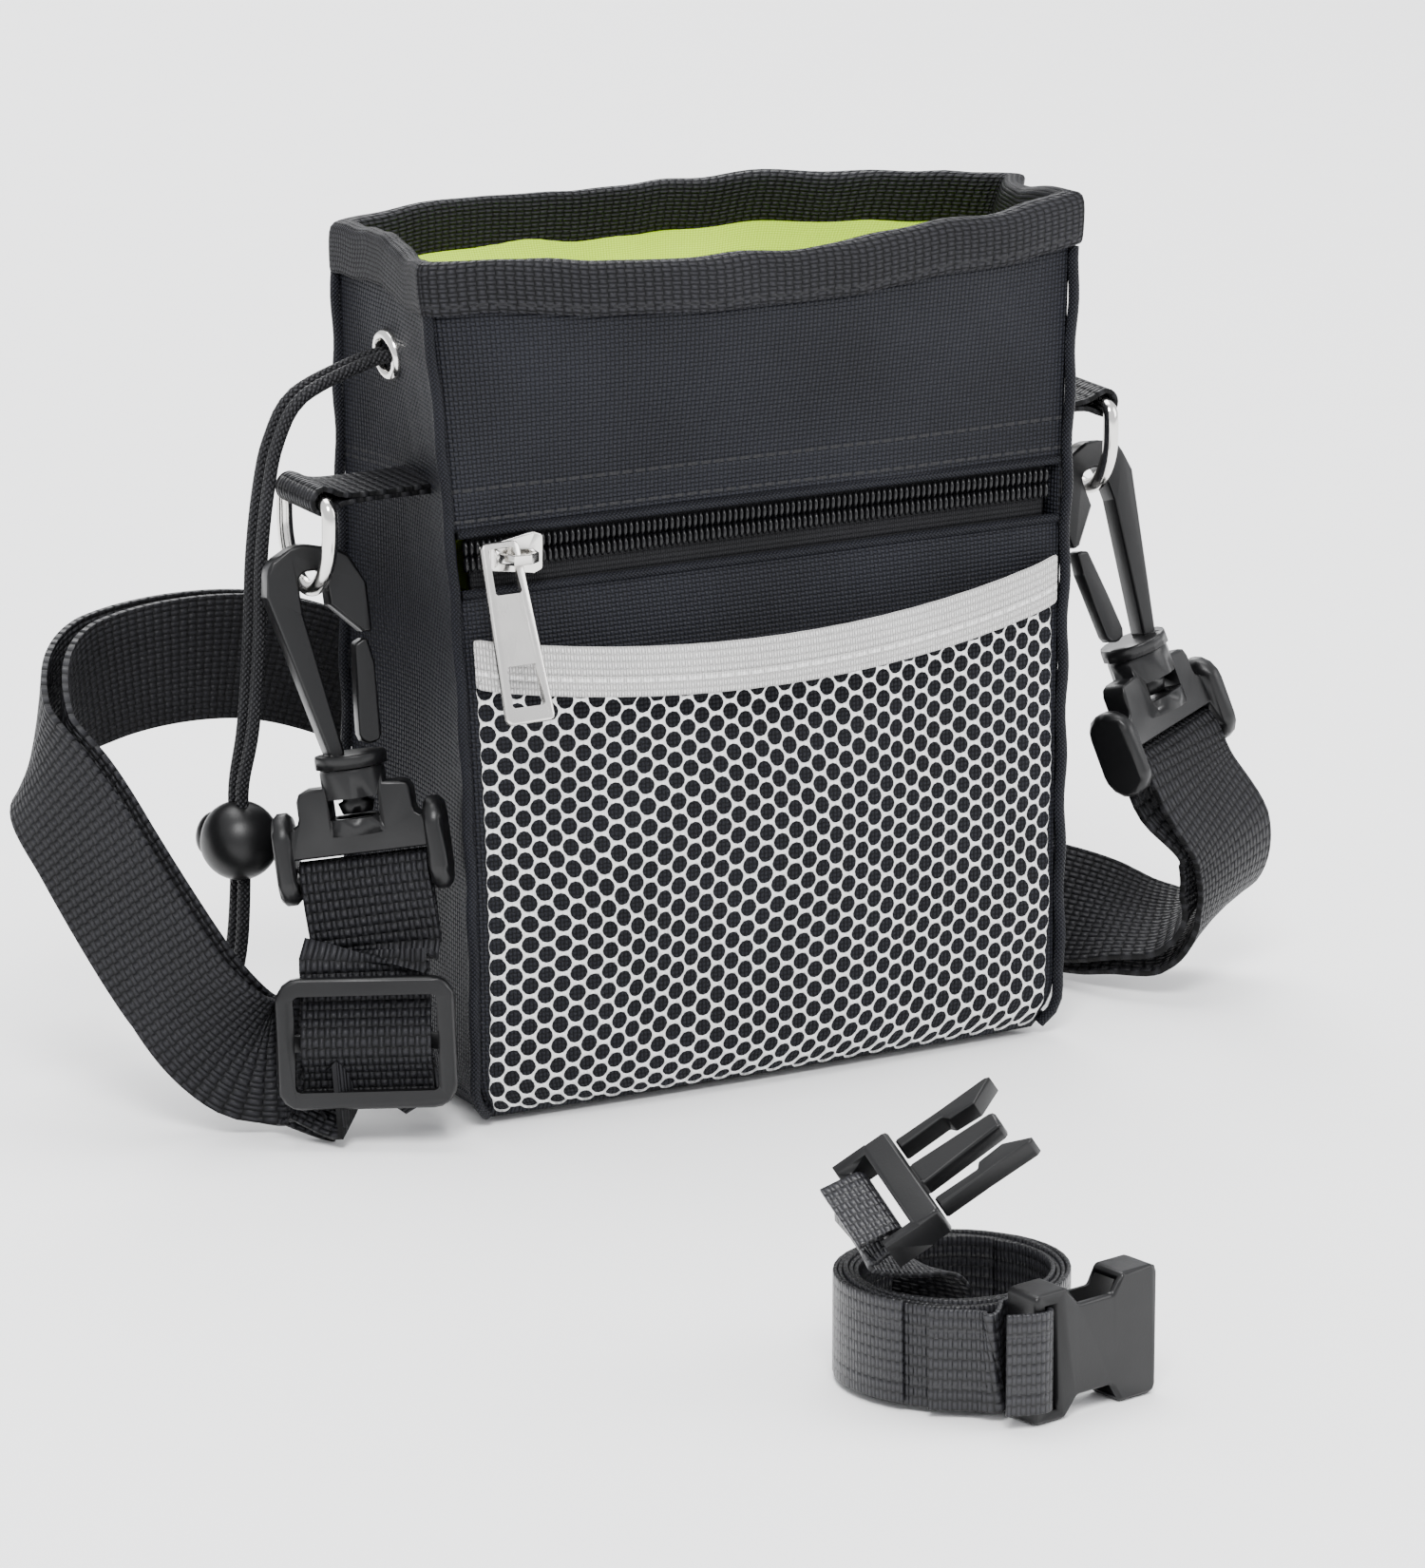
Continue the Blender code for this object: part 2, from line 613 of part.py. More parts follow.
HOOKS = {  # side: ring side, direction of the hook's axis, head's across, base's across, which way the leg lies
    "left": (-1, (-0.035, 0.21, 0.98), (0.985, -0.17, 0.0), (0.82, -0.57, 0.0), 1),
    "right": (1, (-0.273, 0.214, 0.937), (0.955, 0.12, 0.25), (0.91, 0.37, 0.18), -1),
}
EYE_X = -0.0029  # the ring's wire in the hook's frame, whose Y axis is the swivel's
EYE_Y = 0.0015
EYE_SHIFT = -0.0018  # the eye hangs this far in front of the ring's lowest point
HEAD_THICK = 0.0050
COLLAR_TOP = -0.0308
COLLAR_FOOT = -0.0334
BARREL_FOOT = -0.0464
PIN_Y = -0.0540
PIN_RADIUS = 0.0018
LOBE_IN = 0.0130
LOBE_OUT = 0.0166
LOBE_THICK = 0.0110


def millimetres(points, flip=1):
    scaled = [tuple([p[0] * 0.001 * flip, p[1] * 0.001] + [v * 0.001 for v in p[2:]]) for p in points]
    return scaled if flip == 1 else scaled[::-1]


def hook_frames(side):
    """The head's and the base's frames. Their Y axes are the swivel's axis."""
    out, up, across, base_across, flip = HOOKS[side]
    up = Vector(up).normalized()
    across = Vector(across)
    across = (across - up * across.dot(up)).normalized()
    contact = Vector((out * TAB_REACH, EYE_SHIFT, RING_FOOT + 0.0003))
    origin = contact - across * EYE_X * flip - up * EYE_Y
    head = frame_at("hook_head_" + side, origin, across, up)
    base = frame_at("hook_swivel_" + side, origin, Vector(base_across), up)
    return head, turn_to_up(base, origin, base_across, up)


def turn_to_up(empty, place, across, up):
    """Square the empty's X axis to up, which stays as it is."""
    up = Vector(up).normalized()
    across = Vector(across)
    across = (across - up * across.dot(up)).normalized()
    turn = Matrix((across, up, across.cross(up))).transposed().to_4x4()
    empty.matrix_world = Matrix.Translation(Vector(place)) @ turn
    bpy.context.view_layer.update()
    return empty


def make_hook(side):
    flip = HOOKS[side][4]
    head_frame, base_frame = hook_frames(side)
    name = "hook_" + side
    outline = millimetres([
        (-4.6, -31.4), (-12.6, 1.0), (-11.6, 7.4, 4.0), (-5.0, 10.6, 6.0), (4.2, 8.0, 6.0), (7.4, 1.0, 3.0), (7.2, -8.4, 0.6),
        (5.4, -8.2, 0.4), (-0.5, -2.0, 0.4), (-0.5, 4.9, 1.8), (-6.0, 4.9, 2.0), (-6.0, -3.0, 1.0), (-1.4, -31.4)], flip)
    head = plate(name, [rounded(outline, 0.0010, 3)], HEAD_THICK, "plastic", head_frame, 0.0005)
    collar = turned(name + "_collar", [(0.0, COLLAR_TOP - 0.0001), (0.0068, COLLAR_TOP - 0.0001), (0.0070, COLLAR_TOP - 0.0006),
                                       (0.0070, COLLAR_FOOT), (0.0026, COLLAR_FOOT), (0.0026, -0.0400),
                                       (0.0036, -0.0404), (0.0030, -0.0424), (0.0, -0.0424)], "plastic", head_frame)
    combine(head, collar, "UNION")

    gate_outline = millimetres([
        (1.9, -29.6, 1.8), (2.6, -20.0, 3.0), (3.6, -10.2, 0.8), (6.2, -9.0, 0.8), (7.0, -14.0, 3.0), (6.4, -29.6, 1.8)],
        flip)
    hinge = bpy.data.objects.new(name + "_gate_hinge", None)
    bpy.context.scene.collection.objects.link(hinge)
    hinge.parent = head_frame
    hinge.location = (0.0042 * flip, -0.0300, 0)
    moved = [(x - 0.0042 * flip, y + 0.0300, *r) for x, y, *r in gate_outline]
    plate(name + "_gate", [rounded(moved, 0.0008, 2)], 0.0036, "plastic", hinge, 0.0004)

    shoulders = millimetres([
        (-11.2, -37.0, 2.0), (-11.2, -43.5, 2.2), (-13.6, -44.4, 0.5), (-13.6, -50.2, 0.4), (13.6, -50.2, 0.4),
        (13.6, -44.4, 0.5), (11.2, -43.5, 2.2), (11.2, -37.0, 2.0)][::-1])
    base = plate(name + "_base", [rounded(shoulders, 0.0010, 2)], 0.0060, "plastic", base_frame, 0.0005)
    barrel = turned(name + "_barrel", [(0.0, COLLAR_FOOT - GAP), (0.0062, COLLAR_FOOT - GAP), (0.0064, COLLAR_FOOT - 0.001),
                                       (0.0064, BARREL_FOOT), (0.0, BARREL_FOOT)], "plastic", base_frame)
    bore = turned(name + "_bore", [(0.0, COLLAR_FOOT + 0.002), (0.0030, COLLAR_FOOT + 0.002), (0.0030, -0.0396),
                                   (0.0042, -0.0400), (0.0042, -0.0438), (0.0, -0.0438)], "plastic", base_frame)
    window = loft(name + "_window", box_corners((-0.0049, -0.0432, -0.0090), (0.0049, -0.0392, 0.0090)), "plastic",
                  parent=base_frame)
    lobe_outline = [(-LOBE_THICK / 2, -0.0410), (-LOBE_THICK / 2, -0.0590), (LOBE_THICK / 2, -0.0590),
                    (LOBE_THICK / 2, -0.0410)]
    for end in (-1, 1):
        lobe_frame = bpy.data.objects.new(f"{name}_lobe_frame_{end}", None)
        bpy.context.scene.collection.objects.link(lobe_frame)
        lobe_frame.parent = base_frame
        lobe_frame.rotation_euler = (0, math.radians(90), 0)
        lobe_frame.location = (end * (LOBE_IN + LOBE_OUT) / 2, 0, 0)
        lobe = plate(f"{name}_lobe_{end}", [rounded(lobe_outline, 0.0050, 4)], LOBE_OUT - LOBE_IN, "plastic", lobe_frame,
                     0.0009)
        combine(base, lobe, "UNION")
    pin = round_bar(name + "_pin", (-LOBE_IN - 0.001, PIN_Y, 0), (LOBE_IN + 0.001, PIN_Y, 0), PIN_RADIUS, "plastic",
                    base_frame, 12)
    combine(base, pin, "UNION")
    combine(base, barrel, "UNION")
    combine(base, bore, "DIFFERENCE")
    combine(base, window, "DIFFERENCE")
    return base_frame


def turned(name, profile, finish, parent, sides=16):
    """A solid turned about its parent's Y axis, from (radius, Y) points that start and end on the axis."""
    shape = bmesh.new()
    columns = []
    for radius, y in profile:
        if radius == 0:
            columns.append([shape.verts.new((0, y, 0))] * sides)
        else:
            columns.append([shape.verts.new((radius * math.cos(2 * math.pi * k / sides), y,
                                             radius * math.sin(2 * math.pi * k / sides))) for k in range(sides)])
    for upper, lower in zip(columns, columns[1:]):
        for k in range(sides):
            j = (k + 1) % sides
            corners = []
            for vert in (upper[k], upper[j], lower[j], lower[k]):
                if vert not in corners:
                    corners.append(vert)
            shape.faces.new(corners)
    bmesh.ops.recalc_face_normals(shape, faces=shape.faces)
    mesh = bpy.data.meshes.new(name)
    shape.to_mesh(mesh)
    shape.free()
    mesh.shade_smooth()
    mesh.set_sharp_from_angle(angle=math.radians(40))
    return add_object(name, mesh, finish, parent)


# ---- shoulder strap

GLIDE_PLACE = (-0.0885, -0.0255, 0.0208)
GLIDE_ACROSS = (0.86, -0.51, 0.035)
GLIDE_UP = (0.0, 0.16, 0.98)
GLIDE_WIDE = 0.0345
GLIDE_TALL = 0.0255
GLIDE_BAR = 0.0034
GLIDE_THICK = 0.0030
STRAND_GAP = 0.0045  # between the strap's two layers, middle to middle


def make_glide():
    frame = frame_at("glide_frame", GLIDE_PLACE, GLIDE_ACROSS, GLIDE_UP)
    half, tall = GLIDE_WIDE / 2, GLIDE_TALL / 2
    edge = [(-half, -tall), (half, -tall), (half, tall), (-half, tall)]
    side = half - GLIDE_BAR
    window = [(-side, -tall + GLIDE_BAR), (side, -tall + GLIDE_BAR), (side, tall - GLIDE_BAR), (-side, tall - GLIDE_BAR)]
    glide = plate("tri_glide", [rounded(edge, 0.0045, 4), rounded(window, 0.0010, 2)], GLIDE_THICK, "plastic", frame,
                  0.0006)
    low = -GLIDE_THICK / 2 + 0.0002
    bar = loft("glide_bar", box_corners((-side - 0.001, -0.0016, low), (side + 0.001, 0.0016, low + 0.0013)), "plastic",
               parent=frame)
    combine(glide, bar, "UNION")
    return frame


def strip(name, stations, wide, thick, finish, step=0.006, parent=None):
    """Webbing through stations of (place, across), each across pointing along the webbing's width."""
    places = [Vector(place) for place, _ in stations]
    widths = [Vector(across).normalized() for _, across in stations]
    dense, across = [], []
    for i in range(len(places) - 1):
        count = max(1, round((places[i + 1] - places[i]).length / step))
        for k in range(count):
            dense.append(catmull(places, k / count, i))
            across.append(widths[i].lerp(widths[i + 1], k / count))
    dense.append(places[-1])
    across.append(widths[-1])
    rings = []
    for i, place in enumerate(dense):
        along = (dense[min(i + 1, len(dense) - 1)] - dense[max(i - 1, 0)]).normalized()
        side = (across[i] - along * across[i].dot(along)).normalized()
        out = along.cross(side)
        rings.append([place + side * wide / 2 * a + out * thick / 2 * b for a, b in ((-1, -1), (1, -1), (1, 1), (-1, 1))])
    return loft(name, rings, finish, parent=parent)


def in_frame(frame, x, y, z):
    return frame.matrix_world @ Vector((x, y, z))


def direction(frame, x, y, z):
    return frame.matrix_world.to_3x3() @ Vector((x, y, z))


def make_strap(left_base, right_base, glide):
    """One length of webbing: sewn round the left hook's pin, through the slide, behind the bag, round the right
    hook's pin and back to the slide's middle bar."""
    bend = PIN_RADIUS + GAP + WEB_THICK / 2
    left_width = direction(left_base, 1, 0, 0)
    right_width = direction(right_base, 1, 0, 0)
    glide_width = direction(glide, 1, 0, 0)
    back = -GLIDE_THICK / 2 - 2.5 * GAP - WEB_THICK / 2
    front = -GLIDE_THICK / 2 + 0.0002 + 0.0013 + GAP + WEB_THICK / 2
    route = [(in_frame(left_base, 0, PIN_Y - 0.0155, -0.0016), left_width),
             (in_frame(left_base, 0, PIN_Y - 0.0060, -0.0020), left_width)]
    for angle in (180, 135, 90, 45, 0):
        turn = math.radians(angle)
        route.append((in_frame(left_base, 0, PIN_Y + bend * math.sin(turn), bend * math.cos(turn)), left_width))
    route += [(in_frame(left_base, 0, PIN_Y - 0.0060, 0.0018), left_width),
              (in_frame(left_base, 0, PIN_Y - 0.0155, 0.0012), left_width),
              (in_frame(glide, 0, 0.0165, back), glide_width), (in_frame(glide, 0, 0.0092, back), glide_width),
              (in_frame(glide, 0, 0.0058, back * 0.5), glide_width), (in_frame(glide, 0, 0.0020, front + GAP), glide_width),
              (in_frame(glide, 0, -0.0020, front + GAP), glide_width), (in_frame(glide, 0, -0.0058, back * 0.5), glide_width),
              (in_frame(glide, 0, -0.0092, back), glide_width), (in_frame(glide, 0, -0.0118, back * 1.2), glide_width)]
    hidden = [(in_frame(glide, 0, -0.0116, -0.0110), glide_width), ((-0.0935, -0.0085, 0.0122), (0.85, -0.20, 0.20)),
              ((-0.1040, -0.0035, 0.0158), (0.70, -0.25, 0.58)), ((-0.1140, 0.0000, 0.0290), (0.50, -0.62, 0.45)),
              ((-0.1250, 0.0150, 0.0550), (0.36, -0.55, 0.55)), ((-0.1280, 0.0270, 0.0710), (0.10, -0.25, 0.95)),
              ((-0.1120, 0.0410, 0.0800), (0.0, 0.0, 1.0)), ((-0.0750, 0.0470, 0.0790), (0.0, 0.0, 1.0)),
              ((-0.0350, 0.0500, 0.0620), (0.05, 0.05, 1.0)), ((0.0050, 0.0510, 0.0400), (0.15, 0.10, 1.0)),
              ((0.0400, 0.0480, 0.0262), (0.10, 0.30, 0.90)), ((0.0660, 0.0400, 0.0182), (-0.05, 0.60, 0.80)),
              ((0.0840, 0.0180, 0.0148), (-0.20, 0.75, 0.55)), ((0.0950, 0.0000, 0.0138), (0.20, 0.80, 0.45)),
              ((0.1040, -0.0090, 0.0140), (0.65, 0.65, 0.25)), ((0.1095, -0.0140, 0.0215), (0.88, 0.45, 0.15)),
              ((0.1090, -0.0165, 0.0330), (0.93, 0.36, 0.12))]
    route += hidden
    route.append((in_frame(right_base, 0, PIN_Y - 0.0090, -0.0030), right_width))
    for angle in (180, 135, 90, 45, 0):
        turn = math.radians(angle)
        route.append((in_frame(right_base, 0, PIN_Y + bend * math.sin(turn), bend * math.cos(turn)), right_width))
    route.append((in_frame(right_base, 0, PIN_Y - 0.0090, 0.0036), right_width))
    route += beside(hidden, STRAND_GAP)[::-1]
    route += [(in_frame(glide, 0, -0.0050, back - 0.0024), glide_width),
              (in_frame(glide, 0, 0.0020, back - 0.0016), glide_width)]
    return route


def beside(stations, gap):
    """The stations moved off the webbing's face by that much, for a second layer that runs with the first."""
    places = [Vector(place) for place, _ in stations]
    made = []
    for i, (place, across) in enumerate(stations):
        along = places[min(i + 1, len(places) - 1)] - places[max(i - 1, 0)]
        made.append((Vector(place) - along.cross(Vector(across)).normalized() * gap, across))
    return made


# ---- drawcord

LOCK_PLACE = (-0.0968, 0.0120, 0.0530)
LOCK_RADIUS = 0.0078
KNOT_PLACE = (-0.1010, 0.0080, 0.0205)


def cord_route(side):
    """The drawcord's outer stretch from the eyelet, over the tab and through the lock to the knot."""
    place, out = eyelet_spot()
    step = CORD_SPACING * side
    inside = place - out * 0.0030
    points = [inside + Vector((0, step, 0)), place + Vector((0, step, 0)), place + Vector((-0.0060, step * 1.05, -0.0008)),
              Vector((-0.0850, 0.0075 + step * 1.2, 0.1410)), Vector((-0.0905, 0.0072 + step * 1.25, 0.1330)),
              Vector((-0.0930, 0.0070 + step * 1.35, 0.1235)), Vector((-0.0942, 0.0080 + step * 1.4, 0.1100)),
              Vector((-0.0944, 0.0090 + step * 1.5, 0.0950)), Vector((-0.0953, 0.0105 + step * 1.4, 0.0760)),
              Vector((LOCK_PLACE[0], LOCK_PLACE[1] + step * 1.12, 0.0640)), Vector((LOCK_PLACE[0], LOCK_PLACE[1] + step * 1.12, 0.0540)),
              Vector((LOCK_PLACE[0], LOCK_PLACE[1] + step * 1.12, 0.0445)),
              Vector((-0.0985, 0.0100 + step * 1.25, 0.0340)), Vector((KNOT_PLACE[0], KNOT_PLACE[1] + step * 1.2, 0.0266))]
    return points


def make_drawcord():
    for name, side in (("drawcord_front", -1), ("drawcord_back", 1)):
        tube(name, smooth_route(cord_route(side), 0.0060), CORD_RADIUS, "cord")
    depth = SHELL_THICK + GAP + CORD_RADIUS + 0.0001
    loop = loop_at(CHANNEL_HEIGHT, depth)
    place, _ = eyelet_spot()
    start = 24  # the left side's first point
    ordered = loop[start:] + loop[:start]
    before = [p for p in ordered[:8] if p.y > place.y + CHANNEL_HALF + 0.002]
    after = [p for p in ordered[:8] if p.y < place.y - CHANNEL_HALF - 0.002]
    near = skin_point("left", share_at("left", place.y - CHANNEL_HALF, CHANNEL_HEIGHT), CHANNEL_HEIGHT, depth)
    far = skin_point("left", share_at("left", place.y + CHANNEL_HALF, CHANNEL_HEIGHT), CHANNEL_HEIGHT, depth)
    tube("drawcord_ring", [near] + after + ordered[8:] + before + [far], CORD_RADIUS, "cord")


def make_lock():
    """A ball toggle: the cords run down through the shell and its sprung plunger."""
    frame = frame_at("lock_frame", LOCK_PLACE, (0, 0, 1), (-0.35, 0.94, 0))
    shell = turned("cord_lock_body", ball_profile(LOCK_RADIUS, -1.0, 0.55), "plastic", frame, 18)
    bore = turned("lock_bore", [(0.0, LOCK_RADIUS), (0.00523, LOCK_RADIUS), (0.00523, -0.0052), (0.0036, -0.0068),
                                 (0.0, -0.0068)], "plastic",
                  frame)
    oval = rounded([(-0.0037, -0.0024), (0.0037, -0.0024), (0.0037, 0.0024), (-0.0037, 0.0024)], 0.0018, 2)
    slot = loft("lock_slot", [[(x, p[0], p[1]) for p in oval] for x in (-0.02, 0.02)], "plastic", parent=frame)
    combine(shell, bore, "DIFFERENCE")
    combine(shell, slot, "DIFFERENCE")
    press = bpy.data.objects.new("lock_press", None)
    bpy.context.scene.collection.objects.link(press)
    press.parent = frame
    plunger = turned("cord_lock_button", [(0.0, 0.0086), (0.0030, 0.0082), (0.0049, 0.0066), (0.0049, -0.0038),
                                          (0.0, -0.0038)], "plastic", press, 16)
    gap = loft("button_slot", box_corners((-0.02, -0.0030, -0.0027), (0.02, 0.0046, 0.0027)), "plastic", parent=frame)
    combine(plunger, gap, "DIFFERENCE")
    coil = []
    turns = 2
    for k in range(turns * 10 + 1):
        angle = 2 * math.pi * k / 10
        coil.append((0.0030 * math.cos(angle), -0.0064 + 0.0012 * k / (turns * 10), 0.0030 * math.sin(angle)))
    tube("cord_lock_spring", coil, 0.00024, "nickel", frame, 1)


def ball_profile(radius, low, high):
    """(radius, Y) points on a ball, flat at the high end, in the order from top to bottom."""
    points = [(0.0, radius * high)]
    start = math.asin(high)
    for k in range(10):
        angle = start - (start + math.pi / 2) * k / 10
        points.append((radius * math.cos(angle), radius * math.sin(angle)))
    return points + [(0.0, radius * low)]


def make_knot():
    """The overhand knot with its two short tails, as one plain shape."""
    steps = [(0.0054, 0.0026), (0.0040, 0.0040), (0.0015, 0.0047), (-0.0015, 0.0045), (-0.0036, 0.0036),
             (-0.0052, 0.0024), (-0.0120, 0.0022)]
    rings = []
    for height, radius in steps:
        rings.append([Vector(KNOT_PLACE) + Vector((radius * math.cos(a), radius * 1.15 * math.sin(a), height))
                      for a in (2 * math.pi * k / 12 for k in range(12))])
    loft("cord_knot", rings, "cord")


# ---- waist belt

BELT_PLACE = Vector((-0.0568, -0.1933, 0.0))
BELT_WIDE = 0.019
COIL_OUT = 0.0215
COIL_IN = 0.0165
BELT_LIFT = 0.0012
SOCKET_ALONG = (0.98, 0.19, 0)
SOCKET_LONG = 0.0290
SOCKET_TALL = 0.0240
SOCKET_THICK = 0.0078
PLUG_ALONG = (0.791, -0.264, 0.549)
PLUG_ACROSS = (-0.070, -0.942, -0.326)


def make_belt():
    """The waist belt: rolled webbing, a side-release plug above the roll and its socket beside it."""
    coil = bpy.data.objects.new("belt_frame", None)
    bpy.context.scene.collection.objects.link(coil)
    coil.location = BELT_PLACE
    low, high = BELT_LIFT, BELT_LIFT + BELT_WIDE
    rings = []
    for k in range(24):
        a = 2 * math.pi * k / 24
        spoke = Vector((math.cos(a), math.sin(a), 0))
        rings.append([spoke * COIL_IN + Vector((0, 0, low)), spoke * COIL_OUT + Vector((0, 0, low)),
                      spoke * COIL_OUT + Vector((0, 0, high)), spoke * COIL_IN + Vector((0, 0, high))])
    loft("belt_coil", rings, "belt_webbing", looped=True, parent=coil)

    along = Vector(SOCKET_ALONG).normalized()
    front = Vector((along.y, -along.x, 0))
    start = BELT_PLACE + front * (COIL_OUT + 0.0042) + along * -0.0074 + Vector((0, 0, SOCKET_TALL / 2))
    frame = frame_at("socket_frame", start, along, (0, 0, 1))
    half, long = SOCKET_TALL / 2, SOCKET_LONG
    edge = [(0.0, -half, 0.0012), (0.0075, -half, 0.001), (0.0105, -half * 0.70, 0.001), (0.0185, -half * 0.70, 0.001),
            (0.0205, -half, 0.001), (long, -half, 0.0016), (long, half, 0.0016), (0.0205, half, 0.001),
            (0.0185, half * 0.70, 0.001), (0.0105, half * 0.70, 0.001), (0.0075, half, 0.001), (0.0, half, 0.0012)]
    socket = plate("buckle_socket", [rounded(edge, 0.001, 2)], SOCKET_THICK, "plastic", frame, 0.0006)
    slot = loft("socket_slot", box_corners((0.0022, -0.0098, -0.01), (0.0052, 0.0098, 0.01)), "plastic", parent=frame)
    mouth = loft("socket_mouth", box_corners((0.0090, -half + 0.0014, -0.0026), (long + 0.01, half - 0.0014, 0.0026)),
                 "plastic", parent=frame)
    combine(socket, slot, "DIFFERENCE")
    combine(socket, mouth, "DIFFERENCE")

    plug_place = BELT_PLACE + Vector((-0.0124, 0.0, 0.0350))
    plug = frame_at("plug_frame", plug_place, PLUG_ALONG, PLUG_ACROSS)
    bar = [(0.0, -0.0120), (0.0055, -0.0120), (0.0055, 0.0120), (0.0, 0.0120)]
    body = plate("buckle_plug", [rounded(bar, 0.0010, 2)], 0.0068, "plastic", plug, 0.0006)
    for end in (-1, 1):
        cheek = loft(f"plug_cheek_{end}", box_corners((-0.0060, end * 0.0110 - 0.0010, -0.0030),
                                                      (0.0010, end * 0.0110 + 0.0010, 0.0030)), "plastic", parent=plug)
        combine(body, cheek, "UNION")
    pin = round_bar("plug_pin", (-0.0042, -0.0112, 0), (-0.0042, 0.0112, 0), 0.0013, "plastic", plug, 10)
    combine(body, pin, "UNION")
    tongue = plate("plug_tongue", [rounded([(0.0050, -0.0030), (0.0230, -0.0022), (0.0230, 0.0022), (0.0050, 0.0030)],
                                           0.0010, 2)], 0.0040, "plastic", plug, 0.0006)
    combine(body, tongue, "UNION")
    for name, end in (("buckle_prong_upper", -1), ("buckle_prong_lower", 1)):
        hinge = bpy.data.objects.new(name + "_hinge", None)
        bpy.context.scene.collection.objects.link(hinge)
        hinge.parent = plug
        hinge.location = (0.0060, end * 0.0085, 0)
        shape = [(-0.0002, -0.0011), (0.0090, -0.0009), (0.0098, -0.0022), (0.0150, -0.0026), (0.0205, 0.0006),
                 (0.0190, 0.0014), (0.0090, 0.0012), (-0.0002, 0.0013)]
        shape = [(x, y * -end) for x, y in shape]
        if end == 1:
            shape = shape[::-1]
        shape = [(x, -y) for x, y in shape][::-1]
        plate(name, [rounded(shape, 0.0004, 1)], 0.0042, "plastic", hinge, 0.0004)

    bend = 0.0013 + GAP + 0.0005
    width = direction(plug, 0, 1, 0)
    tail = [(BELT_PLACE + Vector((-0.0030, 0.0020, 0.0060)), (0.66, -0.66, -0.10)),
            (BELT_PLACE + Vector((-0.0050, 0.0010, 0.0200)), (0.35, -0.90, -0.15)),
            (in_frame(plug, -0.0100, 0, 0.0042), width)]
    for angle in (90, 45, 0, -45, -90):
        turn = math.radians(angle)
        tail.append((in_frame(plug, -0.0042 + bend * math.cos(turn),
                              0, bend * math.sin(turn)), width))
    tail.append((in_frame(plug, -0.0100, 0, -0.0034), width))
    return tail


def make_belt_loop():
    """Webbing bar-tacked to the back at both ends, for a belt up to 40 mm wide."""
    def on_back(height, off):
        spot = outer_point("back", 0.5, height)
        return Vector((0.0, spot.y + off + 3 * GAP + WEB_THICK / 2, height)), (1, 0, 0)
    strip("belt_loop", [on_back(0.046, 0.0), on_back(0.054, 0.0003), on_back(0.060, 0.0035), on_back(0.068, 0.0058),
                        on_back(0.084, 0.0066), on_back(0.100, 0.0058), on_back(0.108, 0.0035), on_back(0.114, 0.0003),
                        on_back(0.122, 0.0)], WEB_WIDE, WEB_THICK, "webbing", 0.004)


def main():
    clear_scene()
    make_panels()
    make_lining()
    make_binding()
    make_eyelet()
    make_zip()
    frame, top = make_slider()
    make_puller(frame, top)
    make_pocket()
    make_belt_loop()
    for side, out in (("left", -1), ("right", 1)):
        make_tab("tab_" + side, side)
        make_ring("d_ring_" + side, out)
    left_base, right_base = make_hook("left"), make_hook("right")
    glide = make_glide()
    strip("strap_webbing", make_strap(left_base, right_base, glide), WEB_WIDE, WEB_THICK, "webbing")
    make_drawcord()
    make_lock()
    make_knot()
    strip("belt_tail", make_belt(), BELT_WIDE, 0.0010, "belt_webbing", 0.003)


main()
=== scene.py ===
# A treat pouch standing with its strap and drawcord, its rolled waist belt beside it, on a pale studio floor.
import math

import bmesh
import bpy
from mathutils import Matrix, Vector, noise


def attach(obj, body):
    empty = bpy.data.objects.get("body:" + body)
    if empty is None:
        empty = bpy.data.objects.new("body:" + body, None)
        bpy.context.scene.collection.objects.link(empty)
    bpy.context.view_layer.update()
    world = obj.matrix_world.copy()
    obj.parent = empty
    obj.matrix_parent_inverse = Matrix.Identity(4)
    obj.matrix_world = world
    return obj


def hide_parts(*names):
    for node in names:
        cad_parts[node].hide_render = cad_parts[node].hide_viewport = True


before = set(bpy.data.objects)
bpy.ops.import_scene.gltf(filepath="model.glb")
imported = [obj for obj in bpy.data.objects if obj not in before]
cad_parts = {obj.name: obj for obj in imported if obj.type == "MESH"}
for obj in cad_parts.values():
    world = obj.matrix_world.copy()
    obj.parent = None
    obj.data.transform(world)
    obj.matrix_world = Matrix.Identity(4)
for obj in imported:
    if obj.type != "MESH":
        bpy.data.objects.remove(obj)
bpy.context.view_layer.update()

gap = 0.0003


# small helpers

def linkNodes(tree, *pairs):
    for source, target in pairs:
        tree.links.new(source, target)


def mathNode(tree, operation, *values):
    node = tree.nodes.new("ShaderNodeMath")
    node.operation = operation
    for i, value in enumerate(values):
        if isinstance(value, (int, float)):
            node.inputs[i].default_value = value
        else:
            tree.links.new(value, node.inputs[i])
    return node.outputs[0]


def newGroup(name, inputs, outputs):
    tree = bpy.data.node_groups.new(name, "ShaderNodeTree")
    for label, kind, value in inputs:
        socket = tree.interface.new_socket(label, in_out="INPUT", socket_type=kind)
        if value is not None:
            socket.default_value = value
    for label, kind in outputs:
        tree.interface.new_socket(label, in_out="OUTPUT", socket_type=kind)
    return tree, tree.nodes.new("NodeGroupInput"), tree.nodes.new("NodeGroupOutput")


def noiseNode(tree, vector, scale, detail=3.0, rough=0.5):
    node = tree.nodes.new("ShaderNodeTexNoise")
    node.inputs["Scale"].default_value = scale
    node.inputs["Detail"].default_value = detail
    node.inputs["Roughness"].default_value = rough
    tree.links.new(vector, node.inputs["Vector"])
    return node.outputs["Fac"]


